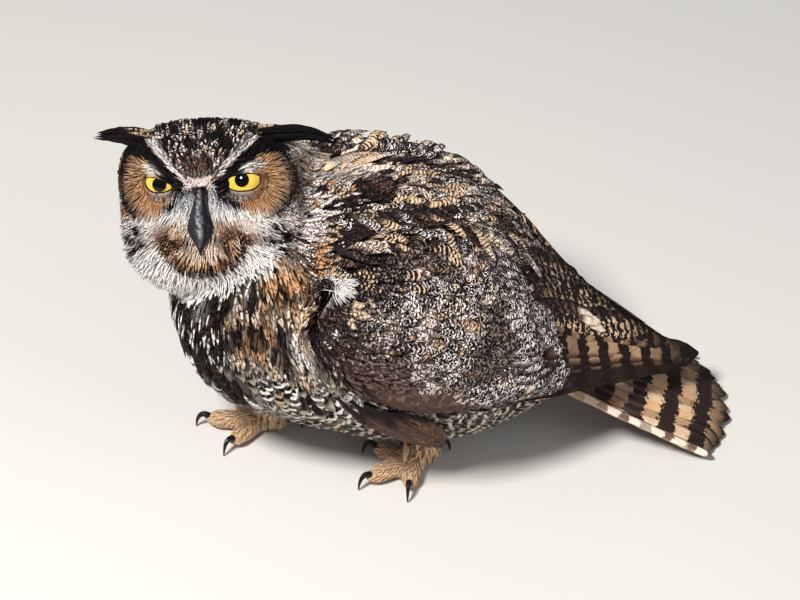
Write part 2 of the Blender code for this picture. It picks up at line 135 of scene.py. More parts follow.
def mesh_from(name, points, faces_by_size):
    """A mesh from rows of points and a list of face arrays, each with its own number of corners."""
    mesh = bpy.data.meshes.new(name)
    corners = np.concatenate([faces.ravel() for faces in faces_by_size]).astype(np.int32)
    sizes = np.concatenate([np.full(len(faces), faces.shape[1]) for faces in faces_by_size])
    starts = np.concatenate([[0], np.cumsum(sizes)[:-1]]).astype(np.int32)
    mesh.vertices.add(len(points))
    mesh.vertices.foreach_set("co", points.astype(np.float32).ravel())
    mesh.loops.add(len(corners))
    mesh.loops.foreach_set("vertex_index", corners)
    mesh.polygons.add(len(sizes))
    mesh.polygons.foreach_set("loop_start", starts)
    mesh.update(calc_edges=True)
    mesh.polygons.foreach_set("use_smooth", np.ones(len(sizes), bool))
    return mesh


def new_object(name, data):
    made = bpy.data.objects.new(name, data)
    bpy.context.scene.collection.objects.link(made)
    return made


def add_piece(name, mesh, material, replaces=()):
    """Puts a mesh into the scene as a piece that rides on the bird."""
    piece = new_object(name, mesh)
    mesh.materials.clear()
    mesh.materials.append(material)
    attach(piece, "root")
    if replaces:
        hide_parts(*replaces)


# %% [markdown]
# ## Where the head looks
#
# The face is turned to the bird's left and looks up, so left, up and forwards of the face
# aren't the room's axes.  A frame of its own, with the origin between the corneas, lets the
# bill, lids and markings be placed as on a portrait that faces you.

# %% The head's own frame
HEAD_YAW, HEAD_PITCH, HEAD_ROLL = (math.radians(turn) for turn in (70.0, 33.0, 7.5))
EYE_DEPTH = 13.5 * MM  # from the face point back to the middle of each eyeball
EYE_DIVERGENCE = math.radians(9.0)  # how far outwards each eye looks
EYE_RADIUS = 14.5 * MM
EYE_OUT = 25.2  # from the face's middle plane to each eye's axis, in mm
turn = Matrix.Rotation(math.pi + HEAD_YAW, 3, "Z")
turn = turn @ Matrix.Rotation(-HEAD_PITCH, 3, "Y") @ Matrix.Rotation(HEAD_ROLL, 3, "X")
HEAD_AXES = np.array(turn)  # its columns are forwards, left and up


def middle_of(node):
    low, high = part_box(node)
    return np.array((low + high) / 2)


EYE_MIDDLES = {1: middle_of("eye_left"), -1: middle_of("eye_right")}
FACE = (EYE_MIDDLES[1] + EYE_MIDDLES[-1]) / 2 + HEAD_AXES[:, 0] * EYE_DEPTH


def to_head(rows):
    """Forwards, left and up of the face point, in millimetres."""
    return (rows - FACE) @ HEAD_AXES / MM


def from_head(rows):
    return FACE + (np.asarray(rows, float) * MM) @ HEAD_AXES.T


print("the face point is at", FACE.round(4), "and looks along", HEAD_AXES[:, 0].round(3))

# %% [markdown]
# ## Which solid is nearest
#
# One search tree over all the flesh solids tells which part of the bird a point belongs to.  The
# coat's depth, the feathers' size and the markings all follow from that label.

# %% Labels from the solids
FLESH = ["trunk", "neck", "head", "leg_left", "leg_right", "foot_left", "foot_right"]
FLESH += ["wing_left_coverts", "wing_right_coverts"]
PARTS = ["trunk", "neck", "head", "leg", "foot", "wing"]


def solid(node):
    """A solid's points and triangles."""
    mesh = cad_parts[node].data
    return points_of(mesh), triangles_of(mesh)


def stacked(solids):
    """Several solids' points and triangles as one solid's."""
    points, triangles = zip(*solids)
    starts = np.cumsum([0, *map(len, points[:-1])])
    return np.concatenate(points), np.concatenate([rows + start for rows, start in zip(triangles, starts)])


def search_tree(points, triangles):
    return BVHTree.FromPolygons(points.tolist(), triangles.tolist(), all_triangles=True)


flesh = [solid(node) for node in FLESH]
labels = [PARTS.index(node.split("_")[0]) for node in FLESH]
flesh_labels = np.repeat(labels, [len(triangles) for _, triangles in flesh])
flesh_tree = search_tree(*stacked(flesh))


def nearest_parts(rows):
    """The label of the part that each point is nearest to."""
    return np.array([flesh_labels[flesh_tree.find_nearest(Vector(p))[2]] for p in rows])


print(len(flesh_labels), "flesh triangles in", len(FLESH), "solids")

# %% [markdown]
# ## One skin
#
# The real bird is one skin from bill to tail, so the parted solids are joined: each is swollen
# by a hair so that neighbours overlap, and a voxel remesh then keeps only the outside.  The
# skin sinks inwards by the coat's depth, a little at a time with smoothing between, because one
# big step would fold it at the creases.

# %% Join and remesh the flesh
SWELL = 0.7 * MM
SKIN_VOXEL = 2.2 * MM


def swollen(points, triangles):
    """A solid with its shared corners joined and its surface moved a little outwards."""
    joined, index = np.unique(points.round(6), axis=0, return_inverse=True)
    triangles = index.reshape(-1)[triangles]
    return joined + smooth_normals(joined, triangles) * SWELL, triangles


def with_modifiers(mesh, *modifiers):
    """The mesh as it comes out of some modifiers, given as a type and its settings."""
    helper = new_object("helper", mesh)
    for kind, settings in modifiers:
        modifier = helper.modifiers.new(kind.lower(), kind)
        for key, value in settings.items():
            setattr(modifier, key, value)
    made = bpy.data.meshes.new_from_object(helper.evaluated_get(bpy.context.evaluated_depsgraph_get()))
    bpy.data.objects.remove(helper)
    return made


joined_points, joined_triangles = stacked([swollen(*rows) for rows in flesh])
joined_flesh = mesh_from("joined_flesh", joined_points, [joined_triangles])
remesh = ("REMESH", {"mode": "VOXEL", "voxel_size": SKIN_VOXEL})
skin_mesh = with_modifiers(joined_flesh, remesh, ("SMOOTH", {"factor": 0.5, "iterations": 4}))
print("the joined skin has", len(skin_mesh.polygons), "faces")

# %% [markdown]
# An owl's coat is deepest on the breast and belly, thin over the wings, and almost nothing on
# the toes and round the eyes.

# %% Sink the skin by the coat's depth
COAT_DEPTH = {"trunk": 9.0, "neck": 8.5, "head": 5.0, "leg": 2.6, "foot": 1.5, "wing": 5.0}
FACE_DEPTH, LID_DEPTH = 2.6 * MM, 0.7 * MM
DEPTH_PASSES, SINK_STEPS = 6, 5


def by_part(values, parts):
    """Values in mm that are given for each part by name, in metres for rows of part labels."""
    return np.array([values[part] for part in PARTS])[parts] * MM


def neighbour_mean(values, edges):
    """Each row's mean over the vertices that it shares an edge with."""
    total = np.zeros_like(values)
    count = np.zeros(len(values))
    for a, b in ((0, 1), (1, 0)):
        np.add.at(total, edges[:, a], values[edges[:, b]])
        np.add.at(count, edges[:, a], 1)
    return total / np.maximum(count, 1).reshape((-1,) + (1,) * (values.ndim - 1))


def eye_distance(head_rows):
    """How far each point is from the nearer eye's axis, in millimetres."""
    return np.hypot(np.abs(head_rows[:, 1]) - EYE_OUT, head_rows[:, 2])


def coat_depth(rows):
    """The coat's depth over each place: by part, and thinner on the face and near the eyes."""
    parts, head = nearest_parts(rows), to_head(rows)
    depth = by_part(COAT_DEPTH, parts)
    face = ease(head[:, 0], -24, -12) * (parts == PARTS.index("head"))
    depth = depth + (FACE_DEPTH - depth) * face
    close = ease(eye_distance(head), 20, 13) * face
    return depth + (LID_DEPTH - depth) * close


skin_points, skin_triangles = points_of(skin_mesh), triangles_of(skin_mesh)
skin_edges = read(skin_mesh.edges, "vertices", 2)
depths = coat_depth(skin_points)
for _ in range(DEPTH_PASSES):
    depths = 0.5 * depths + 0.5 * neighbour_mean(depths, skin_edges)
for _ in range(SINK_STEPS):
    normals = smooth_normals(skin_points, skin_triangles)
    skin_points = skin_points - normals * (depths / SINK_STEPS)[:, None]
    skin_points = 0.6 * skin_points + 0.4 * neighbour_mean(skin_points, skin_edges)
skin_normals = smooth_normals(skin_points, skin_triangles)
skin_parts = nearest_parts(skin_points)
print("the coat is", (depths.min() / MM).round(1), "to", (depths.max() / MM).round(1), "mm deep")

# %% [markdown]
# ## Lids
#
# An owl frowns because a straight upper lid crosses the top of its big round eye.  Each lid ring
# is worked out in the eye's own polar coordinates: an almond opening, a rounded bare rim on the
# cornea, and a thin shell that runs back under the skin.

# %% The lids' opening
CORNEA_RADIUS = 11.8
CORNEA_BULGE = 2.6
# Direction round the eye in degrees, from outwards through up, and the opening's reach in mm.
# The far eye is more than half shut: its upper lid slopes down to the bill across the pupil.
OPENINGS = {
    1: ((-29, 8.4), (8, 11.6), (30, 8.2), (49, 6.0), (90, 4.3), (129, 4.8), (158, 7.8), (186, 13.4),
        (208, 9.0), (240, 6.4), (270, 5.5), (300, 6.2)),
    -1: ((-25, 7.6), (14, 10.6), (32, 6.8), (50, 4.5), (90, 2.9), (130, 2.5), (160, 3.4), (180, 6.0),
         (196, 9.8), (215, 7.8), (240, 6.2), (270, 5.5), (300, 6.0)),
}


def opening_reach(around, side):
    """The opening's reach in a direction round the eye, in millimetres."""
    angles, reach = np.array(OPENINGS[side], float).T
    shifts = np.radians((-9, -4.5, 0, 4.5, 9))
    turned = [np.interp(around + shift, np.radians(angles), reach, period=2 * math.pi) for shift in shifts]
    return sum(turned) / len(shifts)


def eye_axes(side):
    """Forwards, outwards and up of one eye, as rows."""
    forward, left, up = HEAD_AXES.T
    c, s = math.cos(EYE_DIVERGENCE), math.sin(EYE_DIVERGENCE)
    return np.array([c * forward + side * s * left, side * c * left - s * forward, up])


def eye_surface(side, polar, around, lift):
    """Points over one eyeball, a lift in mm above it; polar and around are angles in radians."""
    radius = EYE_RADIUS / MM
    across = radius * np.sin(polar)
    front = (polar < math.pi / 2) & (across < CORNEA_RADIUS)
    ahead = radius * np.cos(polar) + front * CORNEA_BULGE * (1 - (across / CORNEA_RADIUS) ** 2)
    local = rows_of(ahead, across * np.cos(around), across * np.sin(around))
    local = local + unit(local) * np.asarray(lift)[..., None]
    return EYE_MIDDLES[side] + (local * MM) @ eye_axes(side)


def grid_faces(rows, columns):
    """Quads over a grid of points that closes round its columns."""
    r, c = np.meshgrid(np.arange(rows - 1), np.arange(columns), indexing="ij")
    following = (c + 1) % columns
    corners = (r * columns + c, r * columns + following, (r + 1) * columns + following, (r + 1) * columns + c)
    return np.stack(corners, -1).reshape(-1, 4)


def end_caps(rows, columns):
    """The two faces that close a tube's first and last row."""
    ring = np.arange(columns)
    return np.stack([ring, ring[::-1] + (rows - 1) * columns])


LID_SIDES = 72
# Each ring of the lid: degrees beyond the opening and the lift over the eyeball in mm.
LID_RINGS = ((-1.2, -0.2), (-0.4, 0.35), (1.2, 0.75), (3.5, 0.95), (6.5, 0.80), (11.0, 0.75))
LID_END = math.radians(80)
BACK_RINGS = (0.35, 0.7, 1.0)  # the rest of the shell, as shares of the way to the lid's end


def lid_grid(side):
    around = np.linspace(0, 2 * math.pi, LID_SIDES, endpoint=False)
    start = np.arcsin(opening_reach(around, side) * MM / EYE_RADIUS)
    rings = [(start + math.radians(extra), np.full(LID_SIDES, lift)) for extra, lift in LID_RINGS]
    last = rings[-1][0]
    for share in BACK_RINGS:
        rings.append((last + (LID_END - last) * share, np.full(LID_SIDES, 0.75 - 1.5 * share)))
    return np.concatenate([eye_surface(side, polar, around, lift) for polar, lift in rings])


lid_quads = grid_faces(len(LID_RINGS) + len(BACK_RINGS), LID_SIDES)
lid_triangles = np.concatenate([lid_quads[:, [0, 1, 2]], lid_quads[:, [0, 2, 3]]])
for side in (1, -1):
    lid = lid_grid(side)
    faces = lid_triangles[:, ::-1] if side > 0 else lid_triangles
    outwards = smooth_normals(lid, faces)
    if ((lid - EYE_MIDDLES[side]) * outwards).sum() < 0:
        faces, outwards = faces[:, ::-1], -outwards
    skin_triangles = np.concatenate([skin_triangles, faces + len(skin_points)])
    skin_points = np.concatenate([skin_points, lid])
    skin_normals = np.concatenate([skin_normals, outwards])
    skin_parts = np.concatenate([skin_parts, np.full(len(lid), PARTS.index("head"))])
skin_tree = search_tree(skin_points, skin_triangles)
print("with its lids the skin has", len(skin_triangles), "triangles")

# %% [markdown]
# ## Sowing the feathers
#
# Real feathers grow evenly spaced.  Plain random places would leave bald spots and clumps, so
# candidates are thrown at random over the skin and one is kept only if no other stands nearer
# than the spacing.  Every random draw comes from one seeded source, so each run is the same.

# %% Even random places on the skin
rng = np.random.default_rng(20)
THROWS = 4  # candidates for each square with the spacing as its side
BESIDE = [(x - 1, y - 1, z - 1) for x, y, z in np.ndindex(3, 3, 3)]


def sow(chosen, spacing):
    """Roots on the chosen skin triangles, no two nearer than the spacing: (places, normals)."""
    triangles = skin_triangles[chosen]
    a, b, c = (skin_points[triangles[:, k]] for k in range(3))
    area = length(np.cross(b - a, c - a)) / 2
    count = int(area.sum() / spacing**2 * THROWS) + 8
    pick = rng.choice(len(triangles), count, p=area / area.sum())
    u, v = np.sqrt(rng.random(count)), rng.random(count)
    weights = np.stack([1 - u, u * (1 - v), u * v], 1)[:, :, None]
    corners = triangles[pick]
    places = (skin_points[corners] * weights).sum(1)
    normals = unit((skin_normals[corners] * weights).sum(1))
    cells, kept = {}, []
    for i, (key, place) in enumerate(zip(map(tuple, (places // spacing).astype(int).tolist()), places)):
        around = [j for x, y, z in BESIDE for j in cells.get((key[0] + x, key[1] + y, key[2] + z), ())]
        if not around or ((places[around] - place) ** 2).sum(1).min() > spacing**2:
            cells.setdefault(key, []).append(i)
            kept.append(i)
    return places[kept], normals[kept]


# %% [markdown]
# ## Laying a feather along the body
#
# A feather follows the body.  Its shaft starts at the root, steps forwards in the lie of the
# plumage, and is pulled back to the skin after each step.  A smooth curve through those few
# places gives the shaft, which rises from the root so that its tip lies over its neighbours.

# %% Walk the shafts over the skin
ANCHORS = np.linspace(0, 1, 5)


def nearest_skin(rows):
    found, normals = np.empty_like(rows), np.empty_like(rows)
    for i, p in enumerate(rows):
        place, _, face, _ = skin_tree.find_nearest(Vector(p))
        found[i] = place
        normals[i] = skin_normals[skin_triangles[face]].sum(0)
    return found, unit(normals)


def curve_weights(stations):
    """The share of each anchor at each station of the one smooth curve through all anchors."""
    weights = np.ones((len(stations), len(ANCHORS)))
    for i, here in enumerate(ANCHORS):
        for j, other in enumerate(ANCHORS):
            if i != j:
                weights[:, i] *= (stations - other) / (here - other)
    return weights


def walk(roots, normals, headings, lengths, stations):
    """The shafts of many feathers on the skin: points and normals, feather by station."""
    places, uprights = [roots], [normals]
    heading = flattened(headings, normals)
    for _ in ANCHORS[1:]:
        ahead = places[-1] + heading * (lengths / (len(ANCHORS) - 1))[:, None]
        place, upright = nearest_skin(ahead)
        upright = unit(upright + uprights[-1])
        heading = flattened(heading, upright)
        places.append(place)
        uprights.append(upright)
    weights = curve_weights(stations)
    line = np.einsum("ka,ani->nki", weights, np.array(places))
    return line, unit(np.einsum("ka,ani->nki", weights, np.array(uprights)))


# %% [markdown]
# ## The feather itself
#
# Each vane is a closed solid: a row of points across its upper side at every station of the
# shaft, one keel point under it, and a cap at both ends.  Its outline widens quickly, rounds off
# at the tip, and is frayed a little at random, because the barbs of an owl's soft feathers part.
# Four attributes on the points carry what the finish needs: the ground and the marking colour,
# the bars' pitch, share and waviness, and the place within the feather.

# %% Build vanes on given shafts
ACROSS = {3: np.array([-1.0, 0.0, 1.0]), 5: np.array([-1.0, -0.55, 0.0, 0.55, 1.0])}
PATCH = 0.003  # the size of one feather's patch on the bake map


def outline(stations, tip_start, root_width):
    """A contour feather's half width, as a share of its greatest, from root to tip."""
    body = root_width + (1 - root_width) * ease(stations, -0.05, 0.42)
    tip = np.clip((stations - tip_start) / (1 - tip_start), 0, 1)
    return body * np.sqrt(np.maximum(1 - tip**1.8, 0.003))


def stations_for(rows):
    """Stations along the shaft, closer together towards the tip."""
    return np.linspace(0, 1, rows) ** 0.82


def blended(base, other, share):
    return base + (other - base) * share


def vanes(shafts, uprights, half_widths, camber, thickness, paint, fray=0.12, across=5, ragged=0.5):
    """Closed vanes on their shafts: points, faces by size and the attributes, as a dict."""
    count, rows = shafts.shape[:2]
    share = ACROSS[across]
    along = unit(np.gradient(shafts, axis=1))
    side = unit(np.cross(uprights, along))
    up = unit(np.cross(along, side))
    outer = np.abs(share) > 0.9
    widths = half_widths[:, :, None] * np.abs(share)
    widths = widths * (1 + fray * (rng.random((count, rows, across)) - 0.65) * outer)
    reach = widths * np.sign(share)
    drop = camber * half_widths[:, :, None] * share**2
    greatest = half_widths.max(1)[:, None, None]
    lag = ragged * (rng.random((count, rows, across)) - 0.6) * greatest * np.abs(share)
    lag[:, 0] = 0
    top = shafts[:, :, None] + side[:, :, None] * reach[..., None] - up[:, :, None] * drop[..., None]
    top = top + along[:, :, None] * lag[..., None]
    keel = shafts - up * thickness
    points = np.concatenate([top, keel[:, :, None]], 2)
    steps = length(np.diff(shafts, axis=1))
    distance = np.concatenate([np.zeros((count, 1)), np.cumsum(steps, 1)], 1)
    place = np.empty((count, rows, across + 1, 3))
    place[..., 0] = np.concatenate([reach, np.zeros((count, rows, 1))], 2)
    place[..., 1] = np.concatenate([distance[:, :, None] + lag, distance[:, :, None]], 2)
    place[..., 2] = paint["offset"][:, None, None]
    ring = across + 1
    quads = grid_faces(rows, ring)[:, [0, 3, 2, 1]]
    caps = end_caps(rows, ring)
    shift = (np.arange(count) * rows * ring)[:, None, None]
    faces = [(quads[None] + shift).reshape(-1, 4), (caps[None] + shift).reshape(-1, ring)]
    made = {"points": points.reshape(-1, 3), "faces": faces, "place": place.reshape(-1, 3)}
    station = np.linspace(0, 1, rows)[None, :, None, None] * np.ones((count, 1, ring, 1))
    hidden = 1 - ease(station, 0.10, 0.42)
    tipped = ease(station, 0.70, 0.95) * paint["tipping"][:, None, None, None]
    edged = np.append(outer, False)[:, None] * paint["edging"][:, None, None, None]
    for key in ("ground", "mark"):
        colour = paint[key][:, None, None]
        for over, share in (("edge", edged), ("tip", tipped), ("under", hidden)):
            colour = blended(colour, paint[over][:, None, None], share)
        made[key] = colour.reshape(-1, 3)
    made["barring"] = np.broadcast_to(paint["barring"][:, None, None], (count, rows, ring, 3)).reshape(-1, 3)
    u = 0.5 + 0.5 * place[..., 0] / greatest
    made["patch"] = np.stack([u, station[..., 0]], -1).reshape(-1, 2) * PATCH
    made["root"] = np.repeat(shafts[:, 0], rows * ring, 0)
    return made


def merged(parts):
    """Several batches of vanes as one."""
    total, faces = 0, {}
    for part in parts:
        for block in part["faces"]:
            faces.setdefault(block.shape[1], []).append(block + total)
        total += len(part["points"])
    made = {key: np.concatenate([part[key] for part in parts]) for key in parts[0] if key != "faces"}
    made["faces"] = [np.concatenate(blocks) for blocks in faces.values()]
    return made

# %% [markdown]
# ## The colours, as a painter mixes them
#
# Plumage colours are a short list, named here in the values that a colour picker shows.  Blender
# renders with linear light, so each is converted once.

# %% The palette
PALETTE = {
    "black": (12, 9, 10),
    "umber": (31, 22, 23),
    "brown": (72, 54, 48),
    "earth": (108, 84, 74),
    "rust": (138, 92, 60),
    "tawny": (206, 157, 112),
    "orange": (208, 148, 96),
    "buff": (220, 188, 154),
    "cream": (238, 222, 203),
    "white": (240, 237, 232),
    "ash": (236, 223, 217),
    "slate": (84, 86, 96),
    "mist": (172, 176, 190),
    "down": (112, 100, 94),
    "floor": (214, 212, 208),
}


def linear(name):
    value = np.array(PALETTE[name]) / 255
    return np.where(value <= 0.04045, value / 12.92, ((value + 0.055) / 1.055) ** 2.4)


INK = {name: linear(name) for name in PALETTE}

# %% [markdown]
# ## Coats of paint
#
# The markings are laid as a decorator lays paint: one colour all over, then each patch over the
# last through a soft mask.  Skin and feathers ask the same function, so whatever shows between
# two feathers has the colours around it.

# %% A sheet of paint over many places
COLOURS = ("ground", "under", "tip", "edge", "mark")


class Paint:
    """The colours and bars over rows of places, changed by laying values over through masks."""

    def __init__(self, count, chance):
        self.rows = {key: np.tile(INK["down"], (count, 1)) for key in COLOURS}
        self.rows["tipping"], self.rows["edging"] = np.zeros(count), np.zeros(count)
        self.rows["barring"] = np.tile([400.0, 0.4, 0.7], (count, 1))
        self.rows["offset"] = chance * 37.0

    def lay(self, mask, plain=None, bars=None, tipping=None, edging=None, **colours):
        """Colours by name, a plain one for all but the marking where no other is named.

        Bars are their pitch in mm, the marking's share and the waviness.  Tipping and edging
        say how strongly the tip's and the edges' own colours show.
        """
        mask = np.clip(np.asarray(mask, float), 0, 1)
        if plain:
            colours = {**dict.fromkeys(COLOURS[:-1], plain), **colours}
        values = {key: INK[name] for key, name in colours.items()}
        if bars:
            values["barring"] = np.array([1 / (bars[0] * MM), *bars[1:]])
        for key, value in values.items():
            self.rows[key] += (value - self.rows[key]) * mask[:, None]
        for key, value in (("tipping", tipping), ("edging", edging)):
            if value is not None:
                self.rows[key] += (value - self.rows[key]) * mask

    def within(self, mask):
        """The laying of paint through a mask and each layer's own share of it."""
        return lambda share, *layer, **colours: self.lay(mask * share, *layer, **colours)

    def lay_spots(self, mask, rows, chance, spots, **layer):
        """Whole feathers in soft spots, each given as a place and a reach in mm."""
        for place, reach in spots:
            self.lay(mask * whole_feathers(near(rows, place, reach), chance), **layer)

    # Darkens the colours through a mask by a factor: painted shade.
    def shade(self, mask, factor):
        for key in ("ground", "mark", "tip"):
            self.rows[key] *= 1 + (factor - 1) * np.clip(mask, 0, 1)[:, None]


def cloud(rows, size, seed):
    """A soft field between 0 and 1 with patches about one size across, in metres."""
    source = np.random.default_rng(seed)
    total = np.zeros(len(rows))
    for _ in range(7):
        direction = unit(source.normal(size=3))
        pitch = math.pi / size * source.uniform(0.6, 1.5)
        total += np.sin(rows @ direction * pitch + source.uniform(0, 6.3))
    return 0.5 + 0.5 * np.tanh(total * 0.55)


def whole_feathers(mask, chance):
    """A mask that takes each feather wholly or not at all, more of them where it is strong."""
    return (mask > 0.15 + 0.7 * chance).astype(float)


def near(rows, place, reach):
    """A soft spot round a place in mm, on both sides of the bird."""
    places = np.array(place, float) * [(1, 1, 1), (1, -1, 1)]
    return np.maximum(*(lump(length(rows / MM - middle), reach) for middle in places))


def along_line(rows, start, end, reach):
    """A soft streak between two places in mm."""
    line = np.array(end, float) - start
    share = np.clip(((rows / MM - start) @ line) / (line @ line), 0, 1)
    return lump(length(rows / MM - start - share[:, None] * line), reach)


# %% [markdown]
# ## Back and wings
#
# Above, a great horned owl is dark brown with pale wavy cross lines so fine that they blur to
# grey, with scattered feathers that keep a buff centre.  The wing darkens at the wrist, has plain
# brown feathers below it, and pales again on the rounded tips of the greater coverts.

# %% Paint the upper side
DARK_MANTLE = ((-42, 7, 201), (-35, -11, 200), (-53, -45, 193), (-60, 14, 201), (-62, -12, 199))
PALE_SPOTS = ((-57, 0, 201), (-16, -15, 198), (-29, -53, 199), (2, -57, 186), (27, -43, 180), (3, 18, 194),
              (51, -32, 164), (-66, -34, 196), (14, -4, 190), (-32, 38, 193))
PALE_SPOT = {"ground": "buff", "mark": "umber", "bars": (2.6, 0.48, 0.35)}


def paint_back(paint, rows, mask, chance):
    lay = paint.within(mask)
    patches, zones = cloud(rows, 0.012, 3), cloud(rows, 0.030, 61)
    lay(1.0, "umber", (2.4, 0.44, 0.9), mark="ash", edging=0.3)
    lay(chance < 0.35, mark="cream")
    lay(ease(patches, 0.55, 0.8), ground="brown", mark="cream", bars=(2.5, 0.56, 0.8))
    lay(ease(patches, 0.40, 0.16), ground="black", mark="ash", bars=(2.5, 0.24, 0.9))
    lay(chance > 0.88, ground="umber", mark="brown", bars=(3.0, 0.3, 0.9))
    lay(ease(zones, 0.36, 0.14), ground="black", mark="earth", bars=(2.6, 0.36, 0.9))
    lay(chance < 0.07, ground="buff", mark="umber", bars=(2.6, 0.52, 0.4))
    pale = whole_feathers(along_line(rows, (-76, 40, 208), (-36, 27, 200), 21), chance)
    lay(pale, "cream", (2.8, 0.30, 0.5), mark="earth", under="buff", tip="ash", edging=0.4, tipping=0.5)
    dark = [(place, 9) for place in DARK_MANTLE]
    paint.lay_spots(mask, rows, chance, dark, ground="black", mark="brown", bars=(3.0, 0.25, 1.0))
    light = whole_feathers(along_line(rows, (-72, -6, 203), (-79, -34, 196), 12), chance)
    lay(light, ground="ash", mark="umber", edge="ash", bars=(2.3, 0.42, 0.8))
    warm = whole_feathers(along_line(rows, (-79, -42, 192), (-82, -57, 182), 7), chance)
    lay(warm, ground="orange", mark="umber", tip="buff", tipping=0.5, bars=(2.6, 0.42, 0.4))
    paint.lay_spots(mask, rows, chance, [(place, 8) for place in PALE_SPOTS], **PALE_SPOT)


def paint_wing(paint, rows, mask, chance):
    lay = paint.within(mask)
    height, ahead = rows[:, 2] / MM, rows[:, 0] / MM
    patches, zones = cloud(rows, 0.011, 11), cloud(rows, 0.028, 67)
    lay(1.0, "umber", (2.3, 0.40, 0.92), mark="ash", edging=0.3)
    lay(chance < 0.35, mark="cream")
    lay(chance < 0.10, mark="buff")
    lay(ease(patches, 0.55, 0.8), ground="brown", bars=(2.4, 0.54, 0.9))
    lay(ease(patches, 0.42, 0.18), ground="black", bars=(2.4, 0.22, 0.92))
    lay(ease(zones, 0.34, 0.14) * 0.8, ground="black", mark="earth", bars=(2.6, 0.34, 0.9))
    lower = ease(height + 0.18 * ahead, 138, 118) * ease(ahead, -16, 4)
    lay(lower * 0.8, ground="umber", bars=(2.4, 0.34, 0.9))
    shoulder = near(rows, (-58, -60, 194), 17) + near(rows, (-70, -76, 178), 9)
    lay(shoulder, ground="black", mark="brown", bars=(3.0, 0.22, 1.0))
    wrist = ease(ahead, -50, -68) * ease(height, 176, 164)
    lay(wrist, ground="umber", mark="earth", edge="umber", bars=(2.8, 0.35, 1.0))
    lay(wrist * (chance < 0.2), mark="ash", bars=(2.4, 0.3, 0.9))
    plain = near(rows, (-54, -104, 116), 26) + near(rows, (-28, -100, 92), 20)
    lay(plain, ground="brown", mark="earth", tip="earth", edge="brown", edging=0.6, tipping=0.7,
        bars=(9.0, 0.30, 1.0))
    lay(plain * (chance < 0.4), ground="earth", mark="brown")
    pale = whole_feathers(along_line(rows, (-72, 60, 190), (-48, 42, 197), 12), chance)
    lay(pale, ground="cream", mark="earth", tip="ash", edge="cream", edging=0.4, tipping=0.5,
        bars=(2.8, 0.30, 0.5))
    paint.lay_spots(mask, rows, chance, [((-64, -86, 172), 9)], ground="buff", tip="cream", mark="umber",
                    edge="cream", tipping=0.4, bars=(2.8, 0.36, 0.4))
    barred = (((-51, -78, 184), 9), ((-24, -75, 181), 8), ((-2, -58, 187), 6))
    paint.lay_spots(mask, rows, chance, barred, ground="umber", mark="buff", bars=(3.0, 0.30, 0.2))
    paint.lay_spots(mask, rows, chance, [(place, 6) for place in PALE_SPOTS], **PALE_SPOT)


# %% [markdown]
# ## Breast, belly and flanks
#
# Below the white throat the breast is orange-buff at its sides, broken by black blotches, with a
# pale parting down the middle; its far side is painted nearly black as shade, with thin white
# streaks.  The belly and flanks are whitish with neat dark cross bars, painted darker towards the
# ground as shade.

# %% Paint the under side
BLOTCHES = ((-127, -53, 160), (-131, -60, 145), (-110, -72, 143), (-141, -50, 150), (-104, -78, 131))
BLOTCHES += ((-119, -66, 152), (-136, -62, 137), (-118, -75, 131), (-112, -62, 160), (-139, -40, 163))
PLUMES = (((-96, -56, 176), 12), ((-109, -55, 171), 9), ((-102, -65, 164), 8), ((-81, -52, 185), 10))
PLUMES += (((-128, -66, 131), 5), ((-122, -71, 140), 4))
# Pale lines down the breast: two ends and a reach.
STREAKS = (((-152, -20, 160), (-153, -33, 138), 5), ((-153, -33, 138), (-136, -58, 96), 3.0),
           ((-98, -80, 146), (-94, -84, 128), 6))


